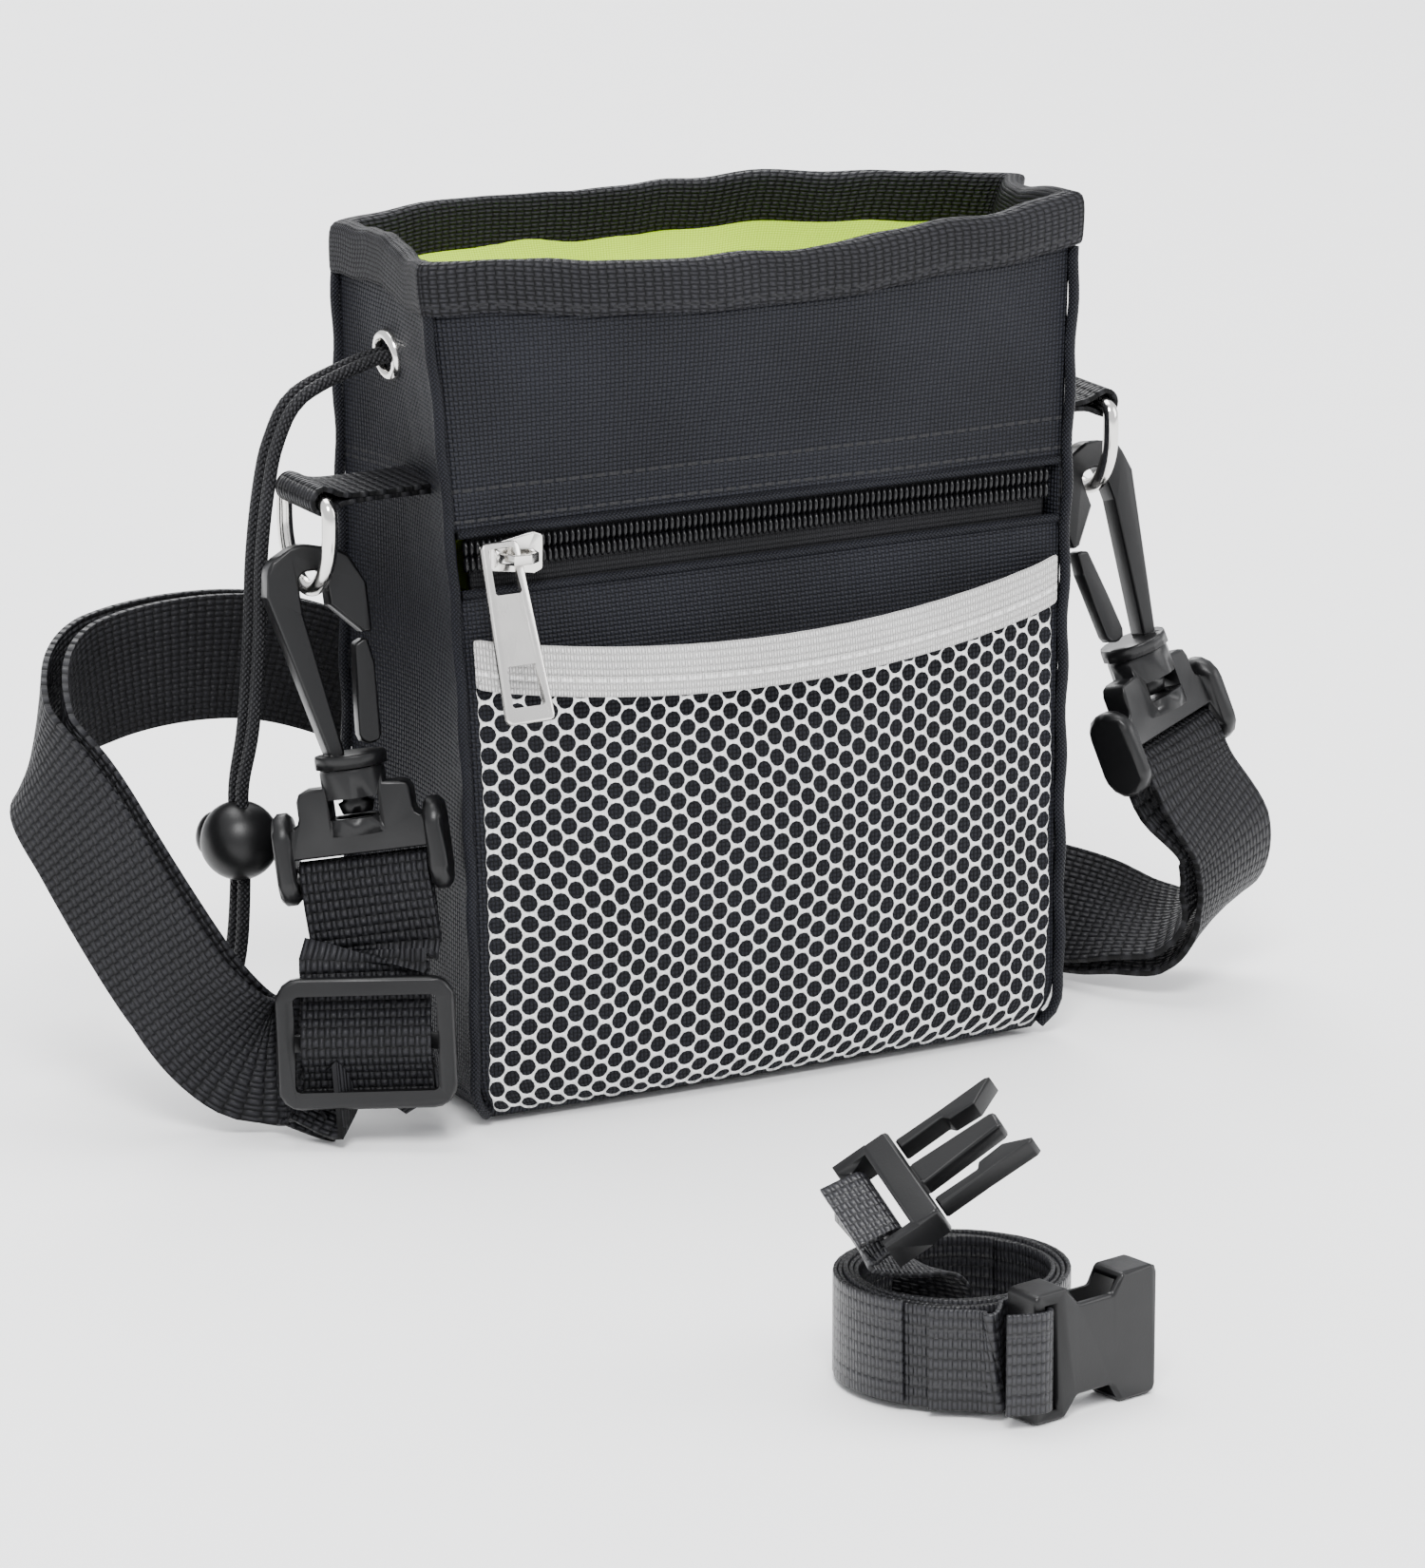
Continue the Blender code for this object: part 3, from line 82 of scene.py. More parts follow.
def rangeNode(tree, value, low, high, start=0.0, end=1.0):
    node = tree.nodes.new("ShaderNodeMapRange")
    for i, number in enumerate((start, end, low, high), 1):
        node.inputs[i].default_value = number
    tree.links.new(value, node.inputs[0])
    return node.outputs[0]


# shared effects

def makeWeave():
    # plain weave: threads pass over and under their neighbours, their raised crowns painted lighter as a highlight
    tree, given, made = newGroup("plainWeave",
                                 [("Place", "NodeSocketVector", None), ("Across", "NodeSocketFloat", 0.0007),
                                  ("Along", "NodeSocketFloat", 0.0007)],
                                 [("Height", "NodeSocketFloat"), ("CrownHighlightAndTone", "NodeSocketFloat")])
    parts = tree.nodes.new("ShaderNodeSeparateXYZ")
    tree.links.new(given.outputs["Place"], parts.inputs[0])
    u = mathNode(tree, "DIVIDE", parts.outputs[0], given.outputs["Across"])
    v = mathNode(tree, "DIVIDE", parts.outputs[1], given.outputs["Along"])
    crownU = mathNode(tree, "ABSOLUTE", mathNode(tree, "SINE", mathNode(tree, "MULTIPLY", u, math.pi)))
    crownV = mathNode(tree, "ABSOLUTE", mathNode(tree, "SINE", mathNode(tree, "MULTIPLY", v, math.pi)))
    cells = mathNode(tree, "ADD", mathNode(tree, "FLOOR", u), mathNode(tree, "FLOOR", v))
    over = mathNode(tree, "ABSOLUTE", mathNode(tree, "MODULO", cells, 2.0))
    warp = mathNode(tree, "MULTIPLY", crownU, mathNode(tree, "MULTIPLY_ADD", crownV, 0.5, 0.5))
    weft = mathNode(tree, "MULTIPLY", crownV, mathNode(tree, "MULTIPLY_ADD", crownU, 0.5, 0.5))
    flip = mathNode(tree, "SUBTRACT", 1.0, over)
    height = mathNode(tree, "ADD", mathNode(tree, "MULTIPLY", warp, flip), mathNode(tree, "MULTIPLY", weft, over))
    uneven = noiseNode(tree, given.outputs["Place"], 1400.0, 2.0)
    tree.links.new(mathNode(tree, "ADD", height, mathNode(tree, "MULTIPLY", uneven, 0.5)), made.inputs["Height"])
    # the colour value: a painted highlight on the raised thread crowns, plus broad tone that differs at random
    broad = noiseNode(tree, given.outputs["Place"], 38.0, 4.0)
    crownHighlightAndTone = mathNode(tree, "ADD", mathNode(tree, "MULTIPLY", height, 0.75), mathNode(tree, "MULTIPLY", broad, 0.5))
    tree.links.new(crownHighlightAndTone, made.inputs["CrownHighlightAndTone"])
    return tree


def makeStitch():
    # a dashed line of thread at one V, running along U
    dashShare, dimpleReach = 0.74, 0.0013
    tree, given, made = newGroup("stitchLine",
                                 [("Place", "NodeSocketVector", None), ("Line", "NodeSocketFloat", 0.0),
                                  ("Pitch", "NodeSocketFloat", 0.0028), ("Half", "NodeSocketFloat", 0.00032)],
                                 [("Thread", "NodeSocketFloat"), ("Dimple", "NodeSocketFloat")])
    parts = tree.nodes.new("ShaderNodeSeparateXYZ")
    tree.links.new(given.outputs["Place"], parts.inputs[0])
    off = mathNode(tree, "ABSOLUTE", mathNode(tree, "SUBTRACT", parts.outputs[1], given.outputs["Line"]))
    near = mathNode(tree, "LESS_THAN", off, given.outputs["Half"])
    step = mathNode(tree, "FRACT", mathNode(tree, "DIVIDE", parts.outputs[0], given.outputs["Pitch"]))
    dash = mathNode(tree, "LESS_THAN", step, dashShare)
    tree.links.new(mathNode(tree, "MULTIPLY", near, dash), made.inputs["Thread"])
    wide = mathNode(tree, "DIVIDE", off, dimpleReach)
    tree.links.new(mathNode(tree, "MINIMUM", wide, 1.0), made.inputs["Dimple"])
    return tree


def makeGrain():
    # moulded surface: fine spark grain, and broad patches that handling has smoothed
    tree, given, made = newGroup("mouldGrain",
                                 [("Place", "NodeSocketVector", None), ("Fine", "NodeSocketFloat", 2600.0)],
                                 [("Height", "NodeSocketFloat"), ("Polish", "NodeSocketFloat")])
    fine = noiseNode(tree, given.outputs["Place"], 2600.0, 2.0)
    tree.links.new(given.outputs["Fine"], fine.node.inputs["Scale"])
    tree.links.new(fine, made.inputs["Height"])
    tree.links.new(noiseNode(tree, given.outputs["Place"], 85.0, 5.0, 0.6), made.inputs["Polish"])
    return tree


def makeBrushed():
    # fine scratches along one direction
    tree, given, made = newGroup("brushedMetal", [("Place", "NodeSocketVector", None)],
                                 [("Height", "NodeSocketFloat"), ("Polish", "NodeSocketFloat")])
    place = tree.nodes.new("ShaderNodeMapping")
    place.inputs["Scale"].default_value = (1.0, 1.0, 0.06)
    tree.links.new(given.outputs["Place"], place.inputs[0])
    tree.links.new(noiseNode(tree, place.outputs[0], 2200.0, 3.0), made.inputs["Height"])
    tree.links.new(noiseNode(tree, given.outputs["Place"], 160.0, 4.0), made.inputs["Polish"])
    return tree


weave, stitch, grain, brushed = makeWeave(), makeStitch(), makeGrain(), makeBrushed()


def useGroup(tree, group, place, **values):
    node = tree.nodes.new("ShaderNodeGroup")
    node.node_tree = group
    tree.links.new(place, node.inputs["Place"])
    for key, value in values.items():
        node.inputs[key].default_value = value
    return node


def startMaterial(name, metallic=0.0, sheen=0.0, specular=0.5):
    made = bpy.data.materials.new(name)
    made.use_nodes = True
    shader = made.node_tree.nodes["Principled BSDF"]
    shader.inputs["Metallic"].default_value = metallic
    shader.inputs["Sheen Weight"].default_value = sheen
    shader.inputs["Sheen Roughness"].default_value = 0.45
    shader.inputs["Specular IOR Level"].default_value = specular
    return made, made.node_tree, shader


def blendColour(tree, factor, first, second):
    node = tree.nodes.new("ShaderNodeMix")
    node.data_type = "RGBA"
    for socket, value in ((node.inputs[6], first), (node.inputs[7], second)):
        if isinstance(value, tuple):
            socket.default_value = (*value, 1.0)
        else:
            tree.links.new(value, socket)
    tree.links.new(factor, node.inputs[0])
    return node.outputs[2]


def addBump(tree, shader, height, strength, distance, before=None):
    node = tree.nodes.new("ShaderNodeBump")
    node.inputs["Strength"].default_value = strength
    node.inputs["Distance"].default_value = distance
    tree.links.new(height, node.inputs["Height"])
    if before is not None:
        tree.links.new(before, node.inputs["Normal"])
    tree.links.new(node.outputs[0], shader.inputs["Normal"])
    return node.outputs[0]


def clothMaterial(name, dark, light, pitch, roughness, depth=0.00018, sheen=0.0, lines=(),
                  thread=(0.02, 0.02, 0.022), stitchPitch=0.0028, specular=0.14):
    # pitch: the size of one thread across and along the cloth; lines: where rows of stitches run
    made, tree, shader = startMaterial(name, sheen=sheen, specular=specular)
    place = tree.nodes.new("ShaderNodeUVMap").outputs[0]
    cloth = useGroup(tree, weave, place, Across=pitch[0], Along=pitch[1])
    # colour runs from dark to light with the weave's painted crown highlight and its random tone
    colour = blendColour(tree, rangeNode(tree, cloth.outputs["CrownHighlightAndTone"], 0.0, 1.0, 0.25, 1.05), dark, light)
    rough = rangeNode(tree, cloth.outputs["CrownHighlightAndTone"], roughness + 0.10, roughness - 0.06)
    height = cloth.outputs["Height"]
    normal = addBump(tree, shader, height, 1.0, depth)
    for line in lines:
        sewn = useGroup(tree, stitch, place, Line=line, Pitch=stitchPitch)
        colour = blendColour(tree, sewn.outputs["Thread"], colour, thread)
        normal = addBump(tree, shader, sewn.outputs["Dimple"], 0.5, 0.00045, normal)
        normal = addBump(tree, shader, sewn.outputs["Thread"], 0.6, 0.00035, normal)
    linkNodes(tree, (colour, shader.inputs["Base Color"]), (rough, shader.inputs["Roughness"]))
    return made


def hardMaterial(name, dark, light, roughness, metallic=0.0, group=grain, depth=0.00004, strength=0.35,
                 specular=0.32):
    made, tree, shader = startMaterial(name, metallic=metallic, specular=0.5 if metallic else specular)
    place = tree.nodes.new("ShaderNodeTexCoord").outputs["Object"]
    finish = useGroup(tree, group, place)
    colour = blendColour(tree, finish.outputs["Polish"], dark, light)
    rough = rangeNode(tree, finish.outputs["Polish"], roughness[1], roughness[0], 0.3, 0.7)
    linkNodes(tree, (colour, shader.inputs["Base Color"]), (rough, shader.inputs["Roughness"]))
    addBump(tree, shader, finish.outputs["Height"], strength, depth)
    return made


blackCloth = {"dark": (0.0012, 0.0012, 0.0018), "light": (0.0155, 0.0165, 0.0225), "pitch": (0.00088, 0.00088),
              "rough": 0.50, "depth": 0.00034}
blackTape = {"dark": (0.0010, 0.0010, 0.0012), "light": (0.020, 0.020, 0.023)}


def oxford(name, lines=()):
    return clothMaterial(name, blackCloth["dark"], blackCloth["light"], blackCloth["pitch"], blackCloth["rough"],
                         blackCloth["depth"], lines=lines)


shellCloth = oxford("shellOxford")
upperCloth = oxford("upperOxfordSewn", (0.1203, 0.1262))
sideCloth = oxford("gussetOxfordSewn", (0.1235, 0.1252))
liningCloth = clothMaterial("liningTaffeta", (0.40, 0.60, 0.012), (0.68, 0.93, 0.050), (0.00042, 0.00042), 0.55,
                            0.00005)
bindingCloth = clothMaterial("bindingTape", blackTape["dark"], (0.022, 0.022, 0.026), (0.00125, 0.00095), 0.55,
                             0.00055, lines=(0.0020,), stitchPitch=0.0032)
strapCloth = clothMaterial("strapWebbing", blackTape["dark"], blackTape["light"], (0.0019, 0.00115), 0.50, 0.00060)
beltCloth = clothMaterial("beltWebbing", (0.0015, 0.0015, 0.0018), (0.026, 0.026, 0.030), (0.00085, 0.0019), 0.34,
                          0.00020, lines=(0.0045, 0.0145), specular=0.3)
elasticCloth = clothMaterial("ribbedElastic", (0.42, 0.41, 0.40), (0.80, 0.79, 0.78), (0.00060, 0.00140), 0.72,
                             0.00060, 0.1, lines=(0.0034,), thread=(0.95, 0.94, 0.93), stitchPitch=0.0034)
netYarn = clothMaterial("netYarn", (0.55, 0.55, 0.55), (0.86, 0.86, 0.85), (0.00030, 0.00030), 0.60, 0.00008, 0.1)
braid = clothMaterial("braidedCord", blackTape["dark"], (0.024, 0.024, 0.027), (0.00125, 0.00125), 0.50, 0.00045,
                      specular=0.2)
zipCloth = clothMaterial("zipTape", blackTape["dark"], (0.014, 0.014, 0.016), (0.00050, 0.0010), 0.60, 0.00016)
nylonTooth = hardMaterial("nylonTooth", (0.0020, 0.0020, 0.0024), (0.006, 0.006, 0.007), (0.22, 0.34))
acetal = hardMaterial("mouldedAcetal", (0.0022, 0.0022, 0.0024), (0.0070, 0.0070, 0.0076), (0.28, 0.42))
nickel = hardMaterial("nickelPlate", (0.66, 0.65, 0.62), (0.84, 0.82, 0.79), (0.10, 0.20), 1.0, depth=0.00001,
                      strength=0.2)
brushedNickel = hardMaterial("brushedNickel", (0.55, 0.54, 0.52), (0.78, 0.76, 0.73), (0.22, 0.34), 1.0, brushed,
                             0.00003, 0.5)
print("materials ready")


# pieces

def linkObject(name, data):
    made = bpy.data.objects.new(name, data)
    bpy.context.scene.collection.objects.link(made)
    return made


def finishPiece(made, body, slotName, material, *nodes):
    for face in made.data.polygons:
        face.use_smooth = True
    made.data.materials.clear()
    made.data.materials.append(material)
    if nodes:
        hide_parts(*nodes)
    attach(made, body)
    return made


def addMesh(name, points, faces, places=None):
    mesh = bpy.data.meshes.new(name)
    mesh.from_pydata([tuple(p) for p in points], [], faces)
    if places:
        layer = mesh.uv_layers.new(name="UVMap")
        for face in mesh.polygons:
            for k, loop in enumerate(face.loop_indices):
                layer.data[loop].uv = places[face.index][k]
    return linkObject(name, mesh)


def addGrid(name, rows, uAt, vAt, closed=False, turned=False):
    # rows of points; uAt and vAt give a point's place on the flat cloth, in metres
    points = [p for row in rows for p in row]
    wide = len(rows[0])
    faces, places = [], []
    for j in range(len(rows) - 1):
        for i in range(wide if closed else wide - 1):
            k = (i + 1) % wide
            corners = [(j, i, i), (j, k, i + 1), (j + 1, k, i + 1), (j + 1, i, i)]
            if turned:
                corners = corners[::-1]
            faces.append([a * wide + b for a, b, _ in corners])
            places.append([(uAt(a, c), vAt(a, c)) for a, b, c in corners])
    return addMesh(name, points, faces, places)


def addModifier(made, kind, **values):
    item = made.modifiers.new(kind.title(), kind)
    for key, value in values.items():
        setattr(item, key, value)
    return item


def addSubdivision(made, levels):
    return addModifier(made, "SUBSURF", levels=levels, render_levels=levels)


def addWall(made, thick, offset=-1.0):
    return addModifier(made, "SOLIDIFY", thickness=thick, offset=offset)


def applyStack(made):
    depsgraph = bpy.context.evaluated_depsgraph_get()
    baked = bpy.data.meshes.new_from_object(made.evaluated_get(depsgraph))
    made.modifiers.clear()
    made.data = baked
    return made


def pointOutwards(made):
    # a closed shell's faces turned outwards
    shape = bmesh.new()
    shape.from_mesh(made.data)
    bmesh.ops.recalc_face_normals(shape, faces=shape.faces)
    shape.to_mesh(made.data)
    shape.free()


def curvePoint(points, i, s):
    # a Catmull-Rom curve between points i and i + 1
    before, here = points[max(i - 1, 0)], points[i]
    after, beyond = points[i + 1], points[min(i + 2, len(points) - 1)]
    return 0.5 * (2 * here + (after - before) * s + (2 * before - 5 * here + 4 * after - beyond) * s * s
                  + (3 * here - before - 3 * after + beyond) * s ** 3)


def smoothRoute(points, step):
    # a curve through the points, with one point about every step
    points = [Vector(p) for p in points]
    made = []
    for i in range(len(points) - 1):
        count = max(1, round((points[i + 1] - points[i]).length / step))
        made += [curvePoint(points, i, k / count) for k in range(count)]
    return made + [points[-1]]


def routeLength(route):
    return sum((b - a).length for a, b in zip(route, route[1:]))


def addTube(name, routes, radius, sides=14, closed=False):
    # a round cord or wire along each route, its UVs running along and round it
    points, faces, places = [], [], []
    girth = 2 * math.pi * radius
    for route in routes:
        first, count = len(points), len(route)
        normal, done, spans = None, 0.0, []
        for i, place in enumerate(route):
            if closed:
                along = route[(i + 1) % count] - route[i - 1]
            else:
                along = route[min(i + 1, count - 1)] - route[max(i - 1, 0)]
            along.normalize()
            if normal is None:
                normal = along.orthogonal().normalized()
            normal = (normal - along * normal.dot(along)).normalized()
            other = along.cross(normal)
            for k in range(sides):
                turn = 2 * math.pi * k / sides
                points.append(place + (normal * math.cos(turn) + other * math.sin(turn)) * radius)
            if i:
                done += (route[i] - route[i - 1]).length
            spans.append(done)
        spans.append(done + (route[0] - route[-1]).length)
        for i in range(count if closed else count - 1):
            j = (i + 1) % count
            for k in range(sides):
                m = (k + 1) % sides
                faces.append([first + i * sides + k, first + i * sides + m, first + j * sides + m,
                              first + j * sides + k])
                a, b = k / sides * girth, (k + 1) / sides * girth
                # the weave runs on the bias, as on a braid
                places.append([(u + v, u - v) for u, v in ((spans[i], a), (spans[i], b), (spans[i + 1], b),
                                                           (spans[i + 1], a))])
        if not closed:
            faces.append([first + k for k in range(sides)][::-1])
            places.append([(0.0, 0.0)] * sides)
            faces.append([first + (count - 1) * sides + k for k in range(sides)])
            places.append([(0.0, 0.0)] * sides)
    return addMesh(name, points, faces, places)


def addStrip(name, stations, wide, thick, step=0.0016, columns=4):
    # webbing through stations of (place, direction across it)
    places = [Vector(place) for place, _ in stations]
    widths = [Vector(across).normalized() for _, across in stations]
    dense, across = [], []
    for i in range(len(places) - 1):
        count = max(1, round((places[i + 1] - places[i]).length / step))
        for k in range(count):
            dense.append(curvePoint(places, i, k / count))
            across.append(widths[i].lerp(widths[i + 1], k / count))
    dense.append(places[-1])
    across.append(widths[-1])
    rows, spans, done = [], [], 0.0
    for i, place in enumerate(dense):
        along = (dense[min(i + 1, len(dense) - 1)] - dense[max(i - 1, 0)]).normalized()
        side = (across[i] - along * across[i].dot(along)).normalized()
        rows.append([place + side * wide * (k / columns - 0.5) for k in range(columns + 1)])
        if i:
            done += (dense[i] - dense[i - 1]).length
        spans.append(done)
    made = addGrid(name, rows, lambda j, i: spans[j], lambda j, i: wide * i / columns)
    addWall(made, thick, 0.0)
    addModifier(made, "BEVEL", width=thick * 0.3, segments=2, limit_method="ANGLE", angle_limit=1.0)
    return made, done


def addTurned(name, profile, steps, matrix):
    # a turned shape about its own Y axis, put in place once its stack is applied
    mesh = bpy.data.meshes.new(name)
    mesh.from_pydata([(x, y, 0.0) for x, y in profile], [(i, i + 1) for i in range(len(profile) - 1)], [])
    made = linkObject(name, mesh)
    addModifier(made, "SCREW", axis="Y", steps=steps, render_steps=steps, use_merge_vertices=True,
                merge_threshold=0.00001)
    applyStack(made)
    shape = bmesh.new()
    shape.from_mesh(made.data)
    bmesh.ops.remove_doubles(shape, verts=shape.verts, dist=0.000005)
    bmesh.ops.recalc_face_normals(shape, faces=shape.faces)
    shape.transform(matrix)
    shape.to_mesh(made.data)
    shape.free()
    return made


def addMoulded(node, name, body, slotName, material, angle=38.0):
    # a merged copy of a moulded or cast piece, smooth where it is round
    shape = bmesh.new()
    shape.from_mesh(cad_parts[node].data)
    bmesh.ops.remove_doubles(shape, verts=shape.verts, dist=0.00001)
    mesh = bpy.data.meshes.new(name)
    shape.to_mesh(mesh)
    shape.free()
    made = linkObject(name, mesh)
    finishPiece(made, body, slotName, material, node)
    mesh.set_sharp_from_angle(angle=math.radians(angle))
    addModifier(made, "WEIGHTED_NORMAL", keep_sharp=True)
    return made


def frameMatrix(place, across, up):
    # local X runs across and local Y runs up
    across, up = Vector(across), Vector(up)
    across = (across - up * across.dot(up) / up.dot(up)).normalized()
    up = up.normalized()
    turn = Matrix((across, up, across.cross(up))).transposed().to_4x4()
    return Matrix.Translation(Vector(place)) @ turn


# camera

cameraSettings = {"target": (0.0015, 0.0, 0.0540), "towards": (-0.467, -0.843, 0.267), "distance": 1.65,
                  "lens": 191.0}
cameraData = bpy.data.cameras.new("pouchCamera")
cameraData.sensor_fit = "VERTICAL"
cameraData.sensor_height = 36.0
cameraData.lens = cameraSettings["lens"]
cameraData.clip_start = 0.05
camera = linkObject("pouchCamera", cameraData)
outwards = Vector(cameraSettings["towards"]).normalized()
camera.location = Vector(cameraSettings["target"]) + outwards * cameraSettings["distance"]
camera.rotation_euler = (-outwards).to_track_quat("-Z", "Y").to_euler()
bpy.context.scene.camera = camera

# the bag's surface, from its corners and how far each side bows out

bag = {"height": 0.1705, "waist": 0.085, "zip": 0.1135, "foot": 0.010, "shell": 0.0011, "lining": 0.0006,
       "bindingFoot": 0.1600}

# each corner's place at the base, the waist and the rim
frontLeft = ((-0.066, -0.027), (-0.0675, -0.026), (-0.071, -0.017))
frontRight = ((0.066, -0.027), (0.0665, -0.026), (0.071, -0.022))
backRight = ((0.065, 0.027), (0.065, 0.026), (0.0725, 0.0010))
backLeft = ((-0.065, 0.027), (-0.066, 0.027), (-0.067, 0.027))

# each side's two corners, and its bow outwards at the base, the waist, the zip and the rim
sides = {"front": (frontLeft, frontRight, (0.001, 0.0022, 0.0, 0.0090)),
         "right": (frontRight, backRight, (0.0, -0.003, -0.005, -0.0045)),
         "back": (backRight, backLeft, (0.002, 0.005, 0.008, 0.0160)),
         "left": (backLeft, frontLeft, (0.0, -0.005, -0.005, -0.0020))}


def blended(height, values):
    # eases from one level's value to the next
    places = (0.0, bag["waist"], bag["zip"], bag["height"])
    for low, high, start, end in zip(places, places[1:], values, values[1:]):
        if height <= high or high == bag["height"]:
            share = min(1.0, max(0.0, (height - low) / (high - low)))
            return start + (end - start) * share * share * (3 - 2 * share)


def through(z, low, middle, high):
    # a parabola through the values at the base, the waist and the rim
    b, c = bag["waist"], bag["height"]
    return (low * (z - b) * (z - c) / (b * c) + middle * z * (z - c) / (b * (b - c))
            + high * z * (z - b) / (c * (c - b)))


def cornerAt(levels, height):
    x = through(height, *(level[0] for level in levels))
    y = through(height, *(level[1] for level in levels))
    short = max(0.0, bag["foot"] - height)
    inset = bag["foot"] - math.sqrt(bag["foot"] ** 2 - short ** 2)
    return Vector((x - math.copysign(inset, x), y - math.copysign(0.5 * inset, y)))


def outerPoint(side, share, height):
    start, end, bows = sides[side]
    first, last = cornerAt(start, height), cornerAt(end, height)
    along = last - first
    out = Vector((along.y, -along.x)).normalized()
    flat = first.lerp(last, share) + out * blended(height, bows) * 4 * share * (1 - share)
    return Vector((flat.x, flat.y, height))


def outwardAt(side, share, height):
    along = outerPoint(side, share + 0.01, height) - outerPoint(side, share - 0.01, height)
    return Vector((along.y, -along.x, 0)).normalized()


def skinPoint(side, share, height, depth):
    return outerPoint(side, share, height) - outwardAt(side, share, height) * depth


def sideLength(side, height):
    return (cornerAt(sides[side][1], height) - cornerAt(sides[side][0], height)).length


def creaseAt(side, share, height, size):
    # soft buckles that die out at the seams
    seed = {"front": 1.3, "right": 4.1, "back": 7.7, "left": 9.2}[side]
    fade = min(1.0, math.sin(math.pi * min(1.0, max(0.0, share))) * 2.2)
    broad = noise.noise(Vector((share * 3.2 + seed, height * 21.0, seed)))
    fine = noise.noise(Vector((share * 8.0 + seed, height * 55.0 + share * 4.0, seed + 3)))
    return size * fade * (0.25 + 0.9 * broad + 0.45 * fine)


rim = {"swell": 0.0016, "ripple": 0.0011, "wave": 0.0016, "sag": 0.0030, "sagHalf": 0.068, "from": 0.135,
       "over": 0.025}


def rimSway(point):
    # the mouth rises and falls a little, sags in front, and waves in and out
    rise = rim["swell"] * noise.noise(Vector((point.x * 34.0, point.y * 60.0, 1.0)))
    rise += rim["ripple"] * noise.noise(Vector((point.x * 95.0, point.y * 140.0, 5.0)))
    if point.y < -0.010:
        rise -= rim["sag"] * max(0.0, 1.0 - (point.x / rim["sagHalf"]) ** 2)
    wave = rim["wave"] * noise.noise(Vector((point.x * 48.0, point.y * 90.0, 9.0)))
    return Vector((0, wave if point.y > 0 else wave * 0.4, rise))


def swayAt(point, height):
    # below the rim the sway dies out
    return rimSway(point) * min(1.0, max(0.0, (height - rim["from"]) / rim["over"]))


def addPanel(name, side, low, high, columns=26, rows=22, size=0.0008, margin=0.0006, depth=0.0, thick=None,
             proud=None):
    # cloth on one side between two edges; low and high give their heights, proud a lift off the bag
    made = []
    for j in range(rows + 1):
        row = []
        for i in range(columns + 1):
            middle = low(0.5) + (high(0.5) - low(0.5)) * j / rows
            first = margin / sideLength(side, middle)
            share = first + (1 - 2 * first) * i / columns
            height = low(share) + (high(share) - low(share)) * j / rows
            lift = proud(i / columns, j / rows) if proud else 0.0
            point = skinPoint(side, share, height, depth - lift - creaseAt(side, share, height, size))
            row.append(point + swayAt(point, height))
        made.append(row)
    wide = sideLength(side, bag["waist"])
    item = addGrid(name, made, lambda j, i: wide * i / columns, lambda j, i: made[j][min(i, columns)].z)
    addWall(item, thick or bag["shell"])
    addSubdivision(item, 1)
    return item


def level(height):
    return lambda share: height


shellTop = bag["height"] - bag["shell"] - gap
panels = {"frontLower": ("front", 0.0012, 0.1065, "front_lower_panel", shellCloth),
          "frontUpper": ("front", 0.1177, shellTop, "front_upper_panel", upperCloth),
          "backPanel": ("back", 0.0012, shellTop, "back_panel", shellCloth),
          "gussetLeft": ("left", 0.0012, shellTop, "gusset_left", sideCloth),
          "gussetRight": ("right", 0.0012, shellTop, "gusset_right", sideCloth)}
for name, (side, low, high, node, cloth) in panels.items():
    size = 0.0004 if name == "frontLower" else 0.0009
    finishPiece(addPanel(name, side, level(low), level(high), size=size), "pouch", "shell_fabric", cloth, node)


def meetingAt(first, second, height, depth):
    # the shares at which two neighbouring sides, both offset inwards, meet
    s, t, step = 1 - depth / sideLength(first, height), depth / sideLength(second, height), 0.001
    for _ in range(8):
        here, there = skinPoint(first, s, height, depth), skinPoint(second, t, height, depth)
        miss = there - here
        along = (skinPoint(first, s + step, height, depth) - here) / step
        beyond = (skinPoint(second, t + step, height, depth) - there) / step
        area = along.x * -beyond.y + beyond.x * along.y
        s += (miss.x * -beyond.y + beyond.x * miss.y) / area
        t += (along.x * miss.y - along.y * miss.x) / area
    return s, t


def loopAround(height, depth, perSide=24):
    # a closed loop round the bag, offset inwards, its sides met at the corners
    names = list(sides)
    corners = [meetingAt(names[i - 1], names[i], height, depth) for i in range(4)]
    made = []
    for i, side in enumerate(names):
        first, last = corners[i][1], corners[(i + 1) % 4][0]
        made += [skinPoint(side, first + (last - first) * k / perSide, height, depth) for k in range(perSide)]
    return made


baseSettings = {"height": 0.0014, "drop": 0.0010, "perSide": 12, "rings": 6, "thick": 0.0009}


def baseFloorRows():
    # rings that close in on the middle, from the turned-up edge
    loop = loopAround(baseSettings["height"], 0.0, baseSettings["perSide"])
    centre = sum(loop, Vector()) / len(loop)
    rows = [[p + Vector((0, 0, 0.0016)) for p in loopAround(0.0030, -0.0001, baseSettings["perSide"])]]
    for j in range(baseSettings["rings"] + 1):
        share = 1 - j / baseSettings["rings"] * 0.96
        drop = Vector((0, 0, -baseSettings["drop"] * (1 - share ** 4)))
        rows.append([centre.lerp(p, share) + drop for p in loop])
    return rows


baseRows = baseFloorRows()
baseCount = len(baseRows[0])
base = addGrid("baseFloor", baseRows, lambda j, i: baseRows[j][i % baseCount].x,
               lambda j, i: baseRows[j][i % baseCount].y, True, True)
if base.data.polygons[0].normal.z > 0.3:
    base.data.flip_normals()
addWall(base, baseSettings["thick"])
finishPiece(base, "pouch", "shell_fabric", shellCloth, "base_panel")

